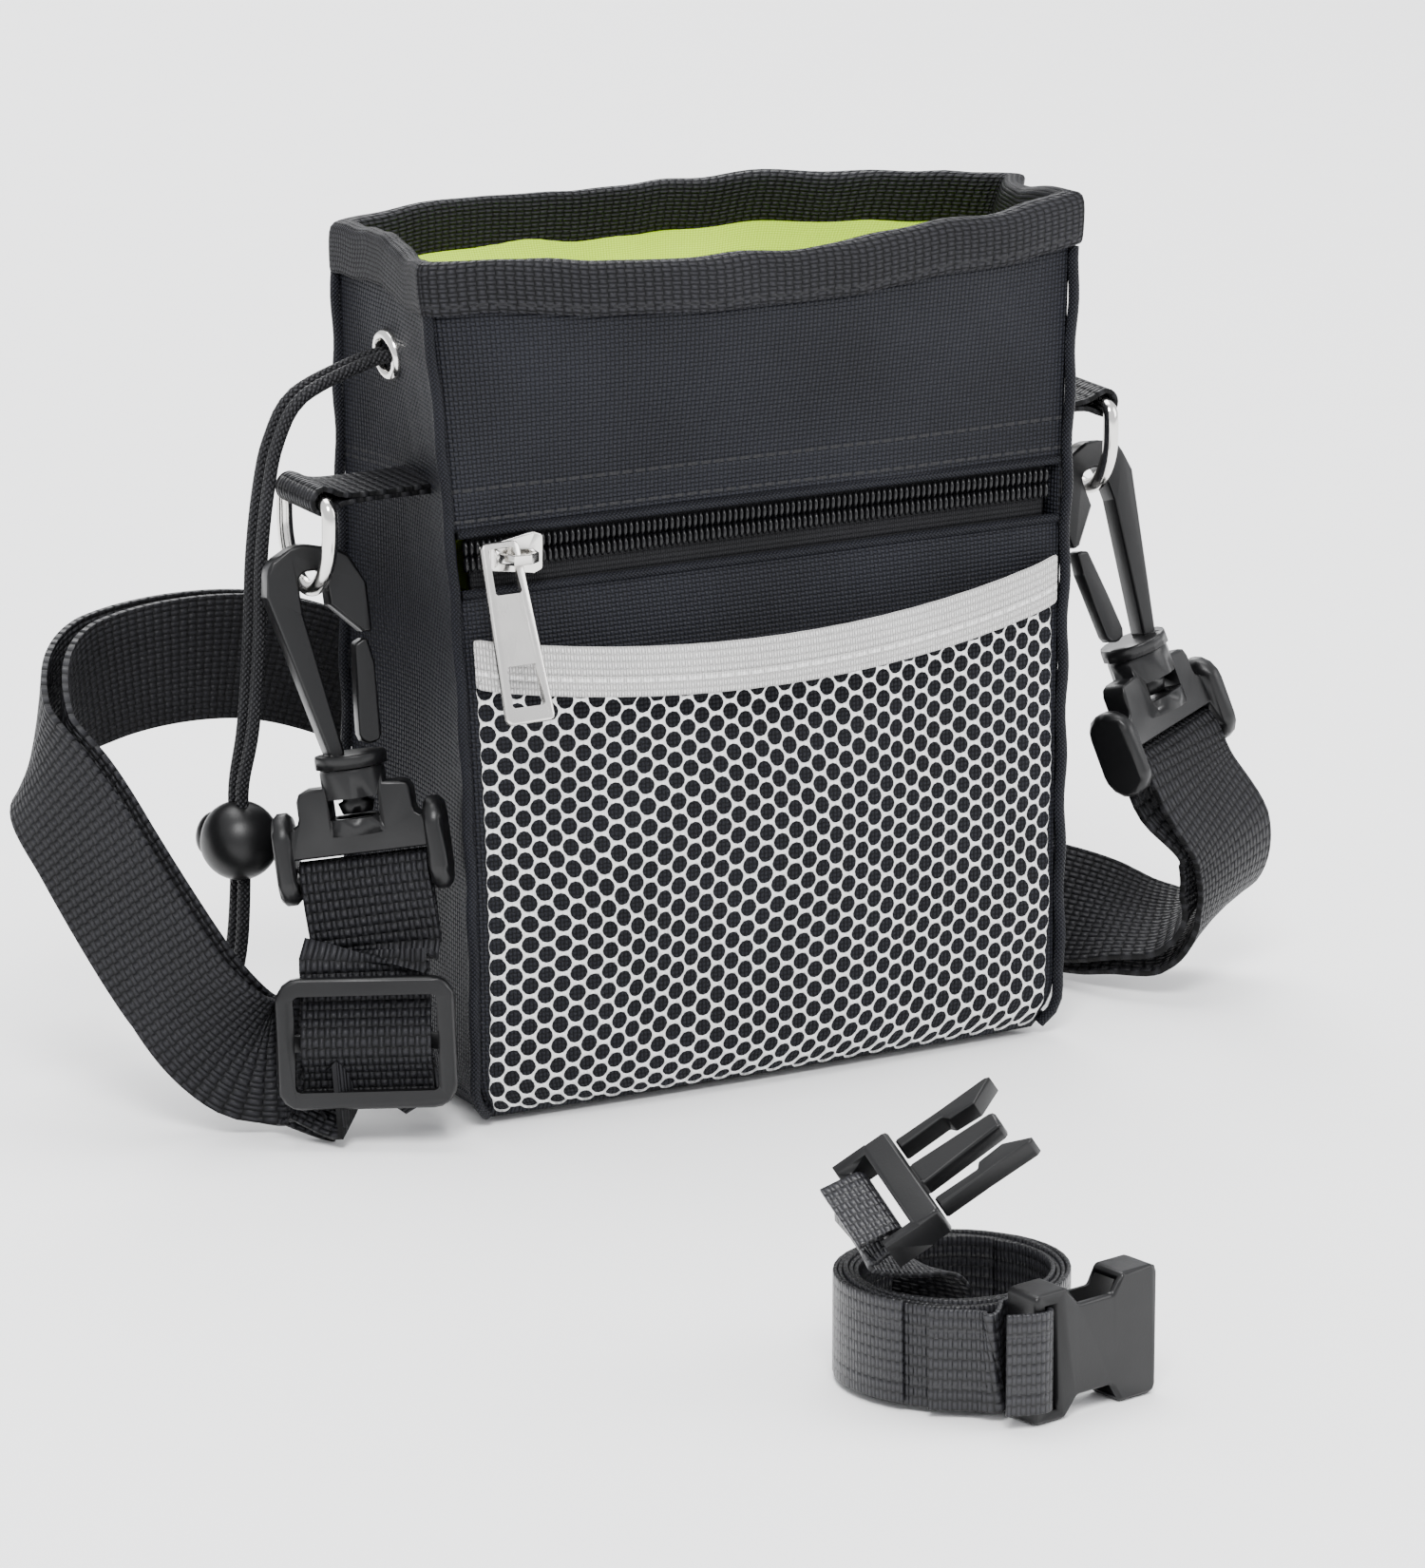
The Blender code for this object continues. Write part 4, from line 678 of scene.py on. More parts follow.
# corner seams: a narrow turned ridge down each corner
seamSettings = {"radius": 0.0011, "proud": 0.0001, "wobble": 0.00025, "foot": 0.0022}
seams = {"seamFrontLeft": "front", "seamFrontRight": "right", "seamBackRight": "back", "seamBackLeft": "left"}
for name, side in seams.items():
    route = []
    for k in range(61):
        height = seamSettings["foot"] + (bag["bindingFoot"] - seamSettings["foot"]) * k / 60
        wobble = seamSettings["wobble"] * math.sin(k * 0.9 + len(name))
        point = outerPoint(side, 0.0, height)
        away = Vector((point.x, point.y, 0)).normalized()
        route.append(Vector((point.x, point.y, height)) + away * (seamSettings["proud"] + wobble))
    ridge = addTube(name, [route], seamSettings["radius"], 10)
    finishPiece(ridge, "pouch", "shell_fabric", shellCloth)
print("bag panels ready")

# lining, open at the top, with its mouth slightly gathered
liningSettings = {"deep": 0.0054, "mouthDeep": 0.0014, "pleat": 0.0007}
liningLevels = [(bag["height"] - 0.0016, liningSettings["mouthDeep"]), (0.1600, liningSettings["mouthDeep"])]
liningLevels += [(height, liningSettings["deep"]) for height in (0.1525, 0.1340, 0.1135, 0.0850, 0.0460, 0.0100)]
liningLevels.append((0.0065, liningSettings["deep"] + 0.0004))
liningRows = []
for height, depth in liningLevels:
    loop = loopAround(height, depth, 24)
    centre = Vector((0, 0, height))
    for k, point in enumerate(loop):
        pleat = liningSettings["pleat"] * (1 + math.sin(k * 1.35 + 2.0 * math.sin(k * 0.31)))
        pleat *= 0.4 if height > 0.155 else 1.0
        loop[k] = point + (centre - point).normalized() * pleat + swayAt(point, height)
    liningRows.append(loop)
floorLoop = liningRows[-1]
floorCentre = sum(floorLoop, Vector()) / len(floorLoop)
for share in (0.8, 0.5, 0.04):
    liningRows.append([floorCentre.lerp(p, share) for p in floorLoop])
lining = addGrid("liningBag", liningRows, lambda j, i: 0.004 * i, lambda j, i: liningRows[j][0].z, True, True)
addWall(lining, bag["lining"])
addSubdivision(lining, 1)
finishPiece(lining, "pouch", "lining_fabric", liningCloth, "lining")

# rim binding: tape folded over the mouth
bindingSettings = {"thick": 0.0011, "length": 0.0033, "width": 0.0400}


def addBinding():
    # its section: depth in from the bag's skin, height, and distance across the tape
    thick, foot, top = bindingSettings["thick"], bag["bindingFoot"], bag["height"]
    inner = bag["shell"] + 2 * gap + bag["lining"]
    section = [(-gap, foot, 0.0), (-gap - thick * 0.85, foot, 0.0002), (-gap - thick, foot + 0.0008, 0.0010),
               (-gap - thick * 1.05, foot + 0.0045, 0.0045), (-gap - thick, top - 0.0020, 0.0090),
               (-gap - thick * 0.5, top - 0.0004, 0.0105), (0.4 * inner, top, 0.0120),
               (inner + thick * 0.5, top - 0.0004, 0.0135), (inner + thick, top - 0.0020, 0.0150),
               (inner + thick, foot + 0.0008, 0.0240), (inner + thick * 0.8, foot, 0.0245), (inner, foot, 0.0250),
               (inner, top - thick - 0.0002, 0.0340), (-gap, top - thick - 0.0002, 0.0370)]
    rows = []
    for depth, height, _ in section:
        loop = loopAround(min(height, bag["height"]), depth, 30)
        for k, point in enumerate(loop):
            loop[k] = point + rimSway(point)
        rows.append(loop)
    count, wide = len(rows), len(rows[0])
    points = [p for row in rows for p in row]
    faces, places = [], []
    for j in range(count):
        m = (j + 1) % count
        for i in range(wide):
            k = (i + 1) % wide
            faces.append([j * wide + i, m * wide + i, m * wide + k, j * wide + k])
            v, w = section[j][2], section[m][2] if m else bindingSettings["width"]
            u, x = bindingSettings["length"] * i, bindingSettings["length"] * (i + 1)
            places.append([(u, v), (u, w), (x, w), (x, v)])
    made = addMesh("rimTape", points, faces, places)
    pointOutwards(made)
    addSubdivision(made, 1)
    return made


finishPiece(addBinding(), "pouch", "binding_tape", bindingCloth, "rim_binding")
print("lining and binding ready")

# zip: tapes, two rows of coil teeth and turned lips beside the slot
zipSettings = {"pitch": 0.00127, "tall": 0.0022, "half": 0.0007, "tape": 0.0014, "thick": 0.0005, "lip": 0.0009}
zipTapes = {"zipTapeUpper": (bag["zip"] + 0.0011, bag["zip"] + 0.0112, "zip_tape_upper"),
            "zipTapeLower": (bag["zip"] - 0.0112, bag["zip"] - 0.0011, "zip_tape_lower")}
for name, (low, high, node) in zipTapes.items():
    tape = addPanel(name, "front", level(low), level(high), rows=3, size=0.0, margin=0.004,
                    depth=zipSettings["tape"], thick=zipSettings["thick"])
    finishPiece(tape, "pouch", "zip_nylon", zipCloth, node)
pocketBack = addPanel("zipPocketBack", "front", level(0.028), level(0.130), rows=8, size=0.0, margin=0.005,
                      depth=0.0042, thick=zipSettings["thick"])
finishPiece(pocketBack, "pouch", "shell_fabric", shellCloth, "zip_pocket_back")


def addTeeth(name, low, high, node):
    # each tooth is one rounded loop of the nylon coil, leaning a little
    full, endGap, around = sideLength("front", bag["zip"]), 0.003, 6
    wide = 0.30 * zipSettings["pitch"] / full
    inward = 0.3 * (high - low)
    levels = ((low, 0.0, 0.5), (low + inward, 0.15, 1.0), (high - inward, 0.25, 1.0), (high, 0.35, 0.6))
    points, faces = [], []
    for n in range(int((full - 2 * endGap) / zipSettings["pitch"])):
        first = len(points)
        share = (endGap + n * zipSettings["pitch"]) / full
        for height, lean, swell in levels:
            for k in range(around):
                turn = 2 * math.pi * k / around
                depth = 0.0002 - math.sin(turn) * 0.00085 * swell
                points.append(skinPoint("front", share + wide * (math.cos(turn) * swell + lean), height, depth))
        for row in range(len(levels) - 1):
            lowRing, highRing = first + row * around, first + (row + 1) * around
            for k in range(around):
                m = (k + 1) % around
                faces.append([lowRing + k, lowRing + m, highRing + m, highRing + k])
        faces.append([first + k for k in range(around)][::-1])
        faces.append([first + (len(levels) - 1) * around + k for k in range(around)])
    made = addMesh(name, points, faces)
    pointOutwards(made)
    return finishPiece(made, "pouch", "zip_nylon", nylonTooth, node)


toothReach = zipSettings["half"] + zipSettings["tall"]
addTeeth("zipTeethUpper", bag["zip"] + 0.0001, bag["zip"] + toothReach, "zip_coil_upper")
addTeeth("zipTeethLower", bag["zip"] - toothReach, bag["zip"] - 0.0001, "zip_coil_lower")
for name, height in (("zipLipUpper", 0.1178), ("zipLipLower", 0.1062)):
    route = [skinPoint("front", 0.012 + 0.976 * k / 60, height, 0.0003) for k in range(61)]
    finishPiece(addTube(name, [route], zipSettings["lip"], 10), "pouch", "shell_fabric", shellCloth)
addMoulded("zip_slider", "sliderBody", "slider", "nickel", nickel)
addMoulded("zip_puller", "pullTab", "puller", "nickel", brushedNickel)
print("zip ready")

# net pocket and its elastic
pocket = {"foot": 0.0030, "margin": 0.0022, "bulge": 0.0115, "gape": 0.0060, "left": 0.0985, "right": 0.1000,
          "sag": 0.0062, "tall": 0.0100, "bandColumns": 48, "bandRows": 8, "cellWide": 0.0031,
          "cellTall": 0.0042, "yarn": 0.00031}


def bulgeAt(share, rise):
    # how far the pocket stands off the front panel
    across = math.sin(math.pi * share) ** 0.55 if 0 < share < 1 else 0.0
    upward = math.sin(math.pi * min(1.0, rise * 1.25 + 0.02) * 0.5) ** 0.6
    return across * upward * (pocket["gape"] + (pocket["bulge"] - pocket["gape"]) * max(0.0, 1 - rise) ** 0.7)


def bandTop(share):
    return pocket["left"] + (pocket["right"] - pocket["left"]) * share - pocket["sag"] * 4 * share * (1 - share)


band = addPanel("elasticTop", "front", lambda s: bandTop(s) - pocket["tall"], bandTop,
                columns=pocket["bandColumns"], rows=pocket["bandRows"], size=0.0,
                margin=pocket["margin"], depth=-gap - 0.0003 - 0.0010, thick=0.0010,
                proud=lambda s, rise: bulgeAt(s, 1.0) + 0.00015 * math.sin(s * 190))
bandLayer = band.data.uv_layers[0]
for face in band.data.polygons:  # its V runs up the band, so that the ribs and stitches follow it
    row = face.index // pocket["bandColumns"]
    for k, loop in enumerate(face.loop_indices):
        bandLayer.data[loop].uv[1] = pocket["tall"] * (row + (1 if k > 1 else 0)) / pocket["bandRows"]
finishPiece(band, "pouch", "elastic", elasticCloth, "elastic_band")


def netPoint(share, height):
    # the net's place over the front panel, creased towards its lower right
    top = bandTop(share) - pocket["tall"] + 0.0010
    rise = max(0.0, min(1.0, (height - pocket["foot"]) / (top - pocket["foot"])))
    lift = bulgeAt(share, rise)
    crease = 0.0011 * noise.noise(Vector((share * 7.0, height * 60.0, 2.0)))
    corner = 0.0016 * math.exp(-((share - 0.93) / 0.05) ** 2) * math.sin(height * 260.0) * (1 - rise)
    return skinPoint("front", share, height, -gap - 0.0004 - lift - (crease + corner) * min(1.0, lift / 0.004))


def addNet():
    # a flat honeycomb of yarn, then laid over the panel
    wide, tall = pocket["cellWide"], pocket["cellTall"]
    full = sideLength("front", bag["waist"])
    shape = bmesh.new()
    known = {}

    def pointAt(x, z):
        key = (round(x * 1e6), round(z * 1e6))
        if key not in known:
            known[key] = shape.verts.new((x, 0.0, z))
        return known[key]

    columns = int((full - 2 * pocket["margin"]) / wide)
    for i in range(columns):
        x = pocket["margin"] + wide * (i + 0.5)
        for j in range(-1, 23):
            z = pocket["foot"] + 0.001 + tall * (j + (0.5 if i % 2 else 0.0))
            if z > bandTop(x / full) - pocket["tall"] + 0.0015 or z < pocket["foot"]:
                continue
            a, b, c = wide * 0.667, wide * 0.333, tall / 2
            cell = [(-a, 0), (-b, -c), (b, -c), (a, 0), (b, c), (-b, c)]
            shape.faces.new([pointAt(x + p, z + q) for p, q in cell])
    bmesh.ops.inset_individual(shape, faces=shape.faces[:], thickness=pocket["yarn"], use_even_offset=True)
    holes = [face for face in shape.faces if len(face.verts) == 6]
    bmesh.ops.delete(shape, geom=holes, context="FACES")
    layer = shape.loops.layers.uv.new("UVMap")
    for face in shape.faces:
        for loop in face.loops:
            loop[layer].uv = (loop.vert.co.x, loop.vert.co.z)
    for vert in shape.verts:
        x, z = vert.co.x, vert.co.z
        hold = min(1.0, 4 * min(x, full - x) / full) * min(1.0, (z - pocket["foot"]) / 0.010)
        vert.co.x += hold * 0.0022 * noise.noise(Vector((x * 26.0, z * 30.0, 4.0)))
        vert.co.z += hold * 0.0020 * noise.noise(Vector((x * 24.0, z * 28.0, 8.0)))
        vert.co = netPoint(min(0.985, max(0.015, vert.co.x / full)), max(pocket["foot"], vert.co.z))
    mesh = bpy.data.meshes.new("netPocket")
    shape.to_mesh(mesh)
    shape.free()
    made = linkObject("netPocket", mesh)
    addWall(made, 0.00055, 0.0)
    addSubdivision(made, 1)
    return made


finishPiece(addNet(), "pouch", "mesh_net", netYarn, "mesh_pocket")
print("net pocket ready")

# eyelet, tabs and rings
eyelet = {"place": (-0.06499, 0.00752, 0.147), "standing": (-0.06559, 0.00753, 0.14694), "along": (0.012, 1.0, 0.0),
          "out": (-0.99501, 0.01263, -0.09901)}
eyeletMatrix = frameMatrix(eyelet["standing"], eyelet["along"], eyelet["out"])
eyeletProfile = [(0.0032, 0.0006), (0.0034, 0.0011), (0.0038, 0.00135), (0.0044, 0.0013), (0.0049, 0.0009),
                 (0.0051, 0.0003), (0.0051, -0.0016), (0.0032, -0.0016), (0.0031, -0.0006), (0.0032, 0.0006)]
finishPiece(addTurned("eyeletRing", eyeletProfile, 56, eyeletMatrix), "pouch", "nickel", nickel, "eyelet")

ringSettings = {"height": 0.1235, "reach": 0.0872, "half": 0.0098, "drop": 0.0185, "wire": 0.0016,
                "tabWall": 0.0625, "tabWide": 0.016, "tabThick": 0.0011}


def ringRoute(out):
    # straight along the tab, then a deep bow below it; out is -1 on the left and 1 on the right
    half, drop, straight = ringSettings["half"], ringSettings["drop"], 0.006
    path = [(half * (1 - 2 * k / 6), 0.0) for k in range(1, 6)]
    path += [(-half * 0.985, -0.0008), (-half, -straight * 0.5)]
    for k in range(25):
        turn = math.pi * k / 24
        path.append((-math.cos(turn) * half, -straight - math.sin(turn) * (drop - straight)))
    path += [(half, -straight * 0.5), (half * 0.985, -0.0008)]
    return [Vector((out * ringSettings["reach"], y, ringSettings["height"] + z)) for y, z in path]


def tabStations(out):
    # out of the side seam, round the ring's bar and back
    wall = ringSettings["tabWall"]
    shell = ringSettings["wire"] + gap + ringSettings["tabThick"] / 2
    flat = ringSettings["tabThick"] / 2
    centre = Vector((out * ringSettings["reach"], 0, ringSettings["height"]))
    across = (0, 1, 0)
    made = [(Vector((out * wall, 0, centre.z + flat)), across),
            (centre + Vector((-out * 0.0065, 0, flat)), across)]
    for angle in (125, 90, 60, 30, 0, -30, -60, -90, -125):
        turn = math.radians(angle)
        made.append((centre + Vector((out * math.cos(turn), 0, math.sin(turn))) * shell, across))
    made += [(centre + Vector((-out * 0.0065, 0, -flat)), across),
             (Vector((out * wall, 0, centre.z - flat)), across)]
    return made


for side, out in (("left", -1), ("right", 1)):
    tab, _ = addStrip("tabFold" + side.title(), tabStations(out), ringSettings["tabWide"],
                      ringSettings["tabThick"] * 0.9, 0.0008)
    finishPiece(tab, "pouch", "shell_fabric", strapCloth, "tab_" + side)
    ring = addTube("ring" + side.title(), [ringRoute(out)], ringSettings["wire"], 16, True)
    addSubdivision(ring, 1)
    finishPiece(ring, "ring_" + side, "nickel", nickel, "d_ring_" + side)
    addMoulded("hook_" + side, "hookHead" + side.title(), "head_" + side, "plastic", acetal)
    addMoulded("hook_" + side + "_gate", "hookGate" + side.title(), "gate_" + side, "plastic", acetal)
    addMoulded("hook_" + side + "_base", "hookSwivel" + side.title(), "pouch", "plastic", acetal)
addMoulded("tri_glide", "strapSlide", "pouch", "plastic", acetal)
print("rings and hooks ready")


# strap: one length of webbing round both hook pins and through the slide
def inFrame(place, x, y, z):
    # place: an origin, then the directions of X, Y and Z
    origin, across, up, out = place
    return Vector(origin) + Vector(across) * x + Vector(up) * y + Vector(out) * z


leftBase = ((-0.08429, -0.00257, 0.10403), (0.82505, -0.54577, 0.14642), (-0.0349, 0.2094, 0.97721),
            (-0.56399, -0.81135, 0.15372))
rightBase = ((0.08483, -0.00247, 0.10316), (0.91102, 0.37061, 0.18079), (-0.27323, 0.21418, 0.9378),
             (0.30883, -0.90376, 0.29639))
slidePlace = ((-0.0885, -0.0255, 0.0208), (0.8596, -0.50976, 0.03498), (0.04097, 0.13702, 0.98972),
              (-0.50932, -0.84933, 0.13867))
strap = {"wide": 0.025, "thick": 0.0012, "pin": -0.0540, "pinRadius": 0.0018, "layers": 0.0045,
         "slideThick": 0.0030}


def strapStations():
    # from the left hook through the slide, behind the bag, round the right hook and back to the slide
    bend = strap["pinRadius"] + gap + strap["thick"] / 2
    pin = strap["pin"]
    leftWide, rightWide, slideWide = leftBase[1], rightBase[1], slidePlace[1]
    back = -strap["slideThick"] / 2 - 2.5 * gap - strap["thick"] / 2
    front = -strap["slideThick"] / 2 + 0.0015 + gap + strap["thick"] / 2
    route = [(inFrame(leftBase, 0, pin - 0.0155, -0.0016), leftWide),
             (inFrame(leftBase, 0, pin - 0.0060, -0.0020), leftWide)]
    for angle in (180, 135, 90, 45, 0):
        turn = math.radians(angle)
        route.append((inFrame(leftBase, 0, pin + bend * math.sin(turn), bend * math.cos(turn)), leftWide))
    route += [(inFrame(leftBase, 0, pin - 0.0060, 0.0018), leftWide),
              (inFrame(leftBase, 0, pin - 0.0155, 0.0012), leftWide)]
    for y, z in ((0.0165, back), (0.0092, back), (0.0058, back * 0.5), (0.0020, front + gap), (-0.0020, front + gap),
                 (-0.0058, back * 0.5), (-0.0092, back), (-0.0118, back * 1.2)):
        route.append((inFrame(slidePlace, 0, y, z), slideWide))
    hidden = [(inFrame(slidePlace, 0, -0.0116, -0.0110), slideWide),
              ((-0.0935, -0.0085, 0.0122), (0.85, -0.20, 0.20)),
              ((-0.1040, -0.0035, 0.0158), (0.70, -0.25, 0.58)), ((-0.1140, 0.0000, 0.0290), (0.50, -0.62, 0.45)),
              ((-0.1250, 0.0150, 0.0550), (0.36, -0.55, 0.55)), ((-0.1280, 0.0270, 0.0710), (0.10, -0.25, 0.95)),
              ((-0.1120, 0.0410, 0.0800), (0.0, 0.0, 1.0)), ((-0.0750, 0.0470, 0.0790), (0.0, 0.0, 1.0)),
              ((-0.0350, 0.0500, 0.0620), (0.05, 0.05, 1.0)), ((0.0050, 0.0510, 0.0400), (0.15, 0.10, 1.0)),
              ((0.0400, 0.0480, 0.0262), (0.10, 0.30, 0.90)), ((0.0660, 0.0400, 0.0182), (-0.05, 0.60, 0.80)),
              ((0.0840, 0.0180, 0.0148), (-0.20, 0.75, 0.55)), ((0.0950, 0.0000, 0.0138), (0.20, 0.80, 0.45)),
              ((0.1040, -0.0090, 0.0140), (0.65, 0.65, 0.25)), ((0.1095, -0.0140, 0.0215), (0.88, 0.45, 0.15)),
              ((0.1090, -0.0165, 0.0330), (0.93, 0.36, 0.12))]
    route += hidden
    route.append((inFrame(rightBase, 0, pin - 0.0090, -0.0030), rightWide))
    for angle in (180, 135, 90, 45, 0):
        turn = math.radians(angle)
        route.append((inFrame(rightBase, 0, pin + bend * math.sin(turn), bend * math.cos(turn)), rightWide))
    route.append((inFrame(rightBase, 0, pin - 0.0090, 0.0036), rightWide))
    places = [Vector(place) for place, _ in hidden]
    second = []
    for i, (place, across) in enumerate(hidden):
        along = places[min(i + 1, len(places) - 1)] - places[max(i - 1, 0)]
        second.append((Vector(place) - along.cross(Vector(across)).normalized() * strap["layers"], across))
    route += second[::-1]
    return route + [(inFrame(slidePlace, 0, -0.0050, back - 0.0024), slideWide),
                    (inFrame(slidePlace, 0, 0.0020, back - 0.0016), slideWide)]


strapPiece, strapLong = addStrip("strapWeb", strapStations(), strap["wide"], strap["thick"])
finishPiece(strapPiece, "pouch", "webbing", strapCloth, "strap_webbing")
print("strap", round(strapLong, 3), "m long")


def backStation(height, off):
    return (Vector((0.0, outerPoint("back", 0.5, height).y + off + 3 * gap + 0.0006, height)), (1, 0, 0))


# each station's height and its stand-off from the back
loopBow = ((0.046, 0.0), (0.054, 0.0003), (0.060, 0.0035), (0.068, 0.0058), (0.084, 0.0066), (0.100, 0.0058),
           (0.108, 0.0035), (0.114, 0.0003), (0.122, 0.0))
loopStations = [backStation(height, off) for height, off in loopBow]
beltLoop, _ = addStrip("beltLoopWeb", loopStations, strap["wide"], strap["thick"])
finishPiece(beltLoop, "pouch", "webbing", strapCloth, "belt_loop")

# drawcord: two strands from the eyelet through the ball lock to the knot
cordSettings = {"radius": 0.0013, "spacing": 0.0015, "lock": (-0.0968, 0.0120, 0.0530),
                "knot": (-0.1010, 0.0080, 0.0205)}


def cordRoute(side):
    # side is -1 for the front strand and 1 for the back one
    place, out = Vector(eyelet["place"]), Vector(eyelet["out"])
    step = cordSettings["spacing"] * side
    lock, knot = cordSettings["lock"], cordSettings["knot"]
    inside = place - out * 0.0030
    inLock = [(lock[0], lock[1] + step * 1.12, height) for height in (0.0640, 0.0540, 0.0445)]
    return [inside + Vector((0, step, 0)), place + Vector((0, step, 0)),
            place + Vector((-0.0060, step * 1.05, -0.0008)), (-0.0850, 0.0075 + step * 1.2, 0.1410),
            (-0.0905, 0.0072 + step * 1.25, 0.1330), (-0.0930, 0.0070 + step * 1.35, 0.1235),
            (-0.0942, 0.0080 + step * 1.4, 0.1100), (-0.0944, 0.0090 + step * 1.5, 0.0950),
            (-0.0953, 0.0105 + step * 1.4, 0.0760), *inLock,
            (-0.0985, 0.0100 + step * 1.25, 0.0340), (knot[0], knot[1] + step * 1.2, 0.0266)]


lockMatrix = frameMatrix(cordSettings["lock"], (0, 0, 1), (-0.34894, 0.93715, 0.0))
ballRadius = 0.0078
ballProfile = [(0.0, ballRadius * 0.60), (0.0048, ballRadius * 0.60), (0.0051, ballRadius * 0.62),
               (0.0056, ballRadius * 0.63)]
ballStart = math.asin(0.58)
for k in range(29):
    turn = ballStart - (ballStart + math.pi / 2) * k / 28
    ballProfile.append((ballRadius * math.cos(turn), ballRadius * math.sin(turn)))
lockBall = addTurned("lockBall", ballProfile, 56, lockMatrix)
finishPiece(lockBall, "lock", "plastic", acetal, "cord_lock_body")
plungerProfile = [(0.0, 0.0087), (0.0018, 0.0087), (0.0032, 0.0084), (0.0043, 0.0077), (0.0047, 0.0068),
                  (0.0047, 0.0044), (0.0, 0.0044)]
lockButton = addTurned("lockPlunger", plungerProfile, 48, lockMatrix)
finishPiece(lockButton, "lock_button", "plastic", acetal, "cord_lock_button")

# the knot: a wrap of cord round the two strands, whose ends hang below it
knotSettings = {"turns": 2.25, "wide": 0.0028, "deep": 0.0031, "top": 0.0040, "tall": 0.0062}
knotPlace = Vector(cordSettings["knot"])
wrap = []
for k in range(57):
    turn = 2 * math.pi * k / 56 * knotSettings["turns"]
    height = knotSettings["top"] - knotSettings["tall"] * k / 56 + 0.0006 * math.sin(turn * 0.5)
    wrap.append(knotPlace + Vector((knotSettings["wide"] * math.cos(turn), knotSettings["deep"] * math.sin(turn),
                                    height)))
wrap = [wrap[0] + Vector((-0.0026, 0.0004, 0.0014)), *wrap, wrap[-1] + Vector((0.0, -0.0022, -0.0012))]
knotRoutes = [wrap]
for step, lean in ((-1, -0.0010), (1, 0.0012)):
    ends = [(0, step * 0.0013, 0.0058), (0, step * 0.0009, 0.0010), (lean * 0.3, step * 0.0011, -0.0050),
            (lean, step * 0.0016, -0.0118)]
    knotRoutes.append(smoothRoute([knotPlace + Vector(place) for place in ends], 0.0012))
knot = addTube("cordKnotTied", knotRoutes, cordSettings["radius"], 12)
finishPiece(knot, "pouch", "cord", braid, "cord_knot")

for name, side, node in (("drawcordFrontStrand", -1, "drawcord_front"), ("drawcordBackStrand", 1, "drawcord_back")):
    route = smoothRoute(cordRoute(side), 0.0022)
    strand = addTube(name, [route], cordSettings["radius"], 14)
    finishPiece(strand, "pouch", "cord", braid, node)
    print(name, round(routeLength(route), 4))
for node, material in (("drawcord_ring", braid), ("cord_lock_spring", nickel)):
    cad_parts[node].data.materials.clear()
    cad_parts[node].data.materials.append(material)
print("drawcord ready")

# waist belt: rolled webbing, its plug standing up out of the roll, its socket beside it
beltSettings = {"place": (-0.0568, -0.1933), "wide": 0.019, "inner": 0.0169, "outer": 0.0211, "turns": 4.5,
                "lift": 0.0012, "perTurn": 40, "shake": 0.00015, "tilt": 0.0004}
rollPlace = Vector((*beltSettings["place"], beltSettings["lift"] + beltSettings["wide"] / 2))
rollStations = []
rollSteps = int(beltSettings["turns"] * beltSettings["perTurn"])
for k in range(rollSteps + 1):
    turn = 2 * math.pi * k / beltSettings["perTurn"] + 0.6
    radius = beltSettings["inner"] + (beltSettings["outer"] - beltSettings["inner"]) * k / rollSteps
    radius += beltSettings["shake"] * math.sin(turn * 3.0)
    tilt = beltSettings["tilt"] * math.sin(turn * 1.3 + 1.0)
    rollStations.append((rollPlace + Vector((radius * math.cos(turn), radius * math.sin(turn), tilt)), (0, 0, 1)))
roll, rollLong = addStrip("beltRoll", rollStations, beltSettings["wide"], 0.0008, 0.0030, 6)
finishPiece(roll, "belt", "belt_webbing", beltCloth, "belt_coil")

# the tail rises out of the roll and turns round the plug's bar
plugPlace = ((-0.0692, -0.1933, 0.035), (0.79228, -0.26443, 0.54989), (-0.08145, -0.93898, -0.33418),
             (0.6047, 0.21997, -0.76547))
plugBar = {"along": -0.0042, "bend": 0.0021}
beltBase = Vector((*beltSettings["place"], 0.0))
tailStations = [(beltBase + Vector((-0.0030, 0.0020, 0.0060)), (0.66, -0.66, -0.10)),
                (beltBase + Vector((-0.0050, 0.0010, 0.0200)), (0.35, -0.90, -0.15)),
                (inFrame(plugPlace, -0.0100, 0, 0.0042), plugPlace[2])]
for angle in (90, 45, 0, -45, -90):
    turn = math.radians(angle)
    around = plugBar["along"] + plugBar["bend"] * math.cos(turn)
    tailStations.append((inFrame(plugPlace, around, 0, plugBar["bend"] * math.sin(turn)), plugPlace[2]))
tailStations.append((inFrame(plugPlace, -0.0100, 0, -0.0034), plugPlace[2]))
tail, _ = addStrip("beltTailWeb", tailStations, 0.017, 0.0009, 0.0008)
finishPiece(tail, "belt", "belt_webbing", beltCloth, "belt_tail")

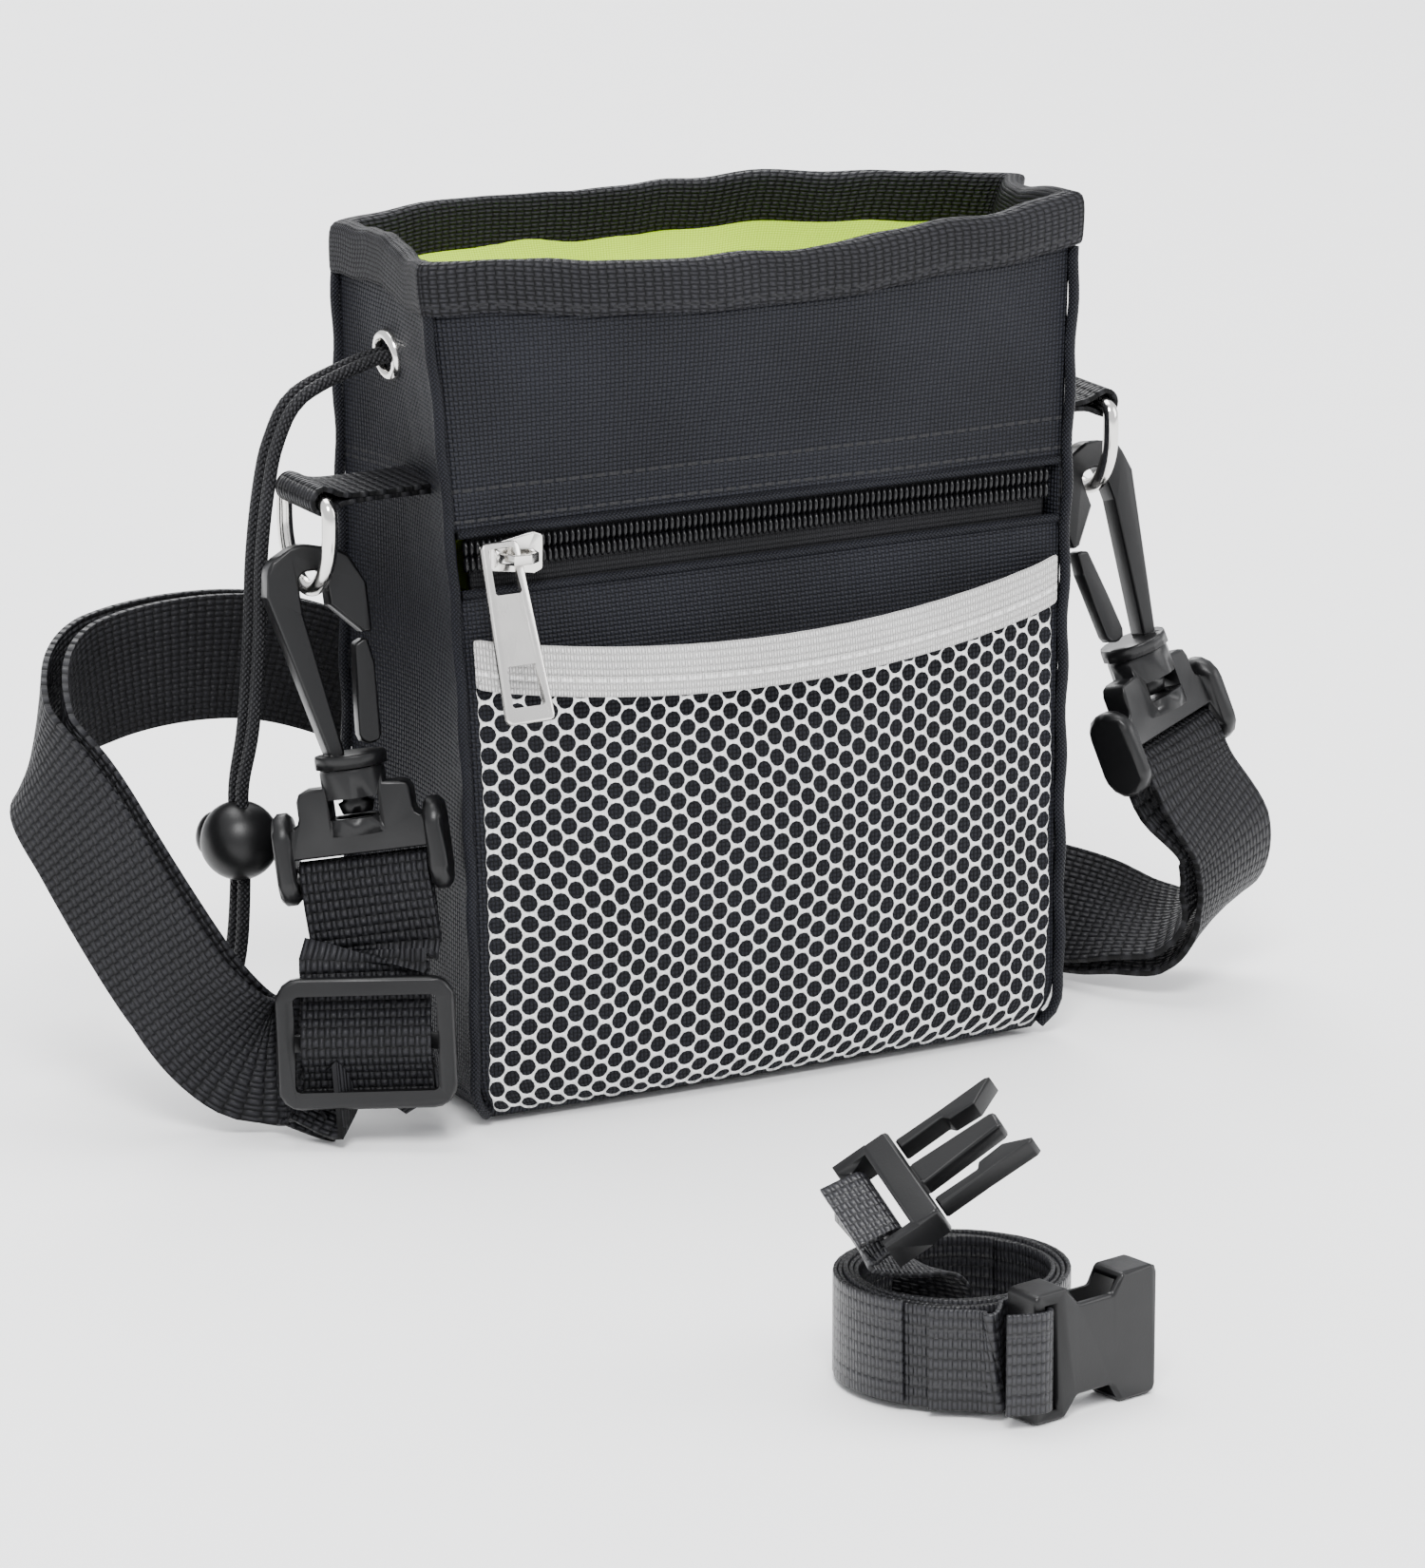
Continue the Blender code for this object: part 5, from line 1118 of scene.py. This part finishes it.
# the outer end runs off the roll and round the socket's bar
socketPlace = ((-0.05917, -0.21994, 0.012), (0.98172, 0.19033, 0.0), (0.0, 0.0, 1.0), (0.19033, -0.98172, 0.0))
leadPlaces = [beltBase + Vector((-0.0150, -0.0168, 0.0107)), beltBase + Vector((-0.0085, -0.0212, 0.0107))]
leadPlaces += [inFrame(socketPlace, *place) for place in
               ((-0.0030, -0.0010, -0.0030), (0.0012, 0, -0.0050), (0.0034, 0, -0.0030), (0.0038, 0, 0.0020),
                (0.0030, 0, 0.0046), (0.0000, 0, 0.0047), (-0.0050, 0, 0.0020))]
lead, _ = addStrip("beltLeadWeb", [(place, (0, 0, 1)) for place in leadPlaces], 0.0185, 0.0009, 0.0008)
finishPiece(lead, "belt", "belt_webbing", beltCloth)
for node, name, body in (("buckle_plug", "plugBody", "belt"), ("buckle_socket", "socketShell", "belt"),
                         ("buckle_prong_upper", "prongUpper", "prong_upper"),
                         ("buckle_prong_lower", "prongLower", "prong_lower")):
    addMoulded(node, name, body, "plastic", acetal)
print("belt", round(rollLong, 3), "m long")

# floor and light
studio = {"floor": (0.95, 0.95, 0.95), "floorHalf": 6, "floorDrop": 0.0002, "world": (0.96, 0.97, 1.0),
          "worldStrength": 1.25}
half, drop = studio["floorHalf"], studio["floorDrop"]
floorMesh = bpy.data.meshes.new("studioFloor")
floorMesh.from_pydata([(-half, -half, -drop), (half, -half, -drop), (half, half, -drop), (-half, half, -drop)], [],
                      [(0, 1, 2, 3)])
floor = linkObject("studioFloor", floorMesh)
floorPaper, floorTree, floorShader = startMaterial("studioPaper")
floorNoise = noiseNode(floorTree, floorTree.nodes.new("ShaderNodeTexCoord").outputs["Object"], 40.0)
floorColour = blendColour(floorTree, floorNoise, studio["floor"], tuple(v * 1.03 for v in studio["floor"]))
floorTree.links.new(floorColour, floorShader.inputs["Base Color"])
floorShader.inputs["Roughness"].default_value = 0.9
floorMesh.materials.append(floorPaper)
world = bpy.data.worlds.new("studioWorld")
world.use_nodes = True
world.node_tree.nodes["Background"].inputs[0].default_value = (*studio["world"], 1.0)
world.node_tree.nodes["Background"].inputs[1].default_value = studio["worldStrength"]
bpy.context.scene.world = world
lights = {"keyLight": ((-0.7, -1.2, 1.6), 46.0, 0.7), "fillLight": ((1.4, -0.9, 0.8), 16.0, 1.0),
          "topLight": ((0.1, 0.4, 1.8), 34.0, 1.2), "rimLight": ((0.5, 1.5, 0.9), 14.0, 0.8)}
for name, (place, power, size) in lights.items():
    data = bpy.data.lights.new(name, "AREA")
    data.energy = power
    data.size = size
    lamp = linkObject(name, data)
    lamp.location = place
    lamp.rotation_euler = (Vector((0, 0, 0.06)) - Vector(place)).to_track_quat("-Z", "Y").to_euler()
print("studio ready")
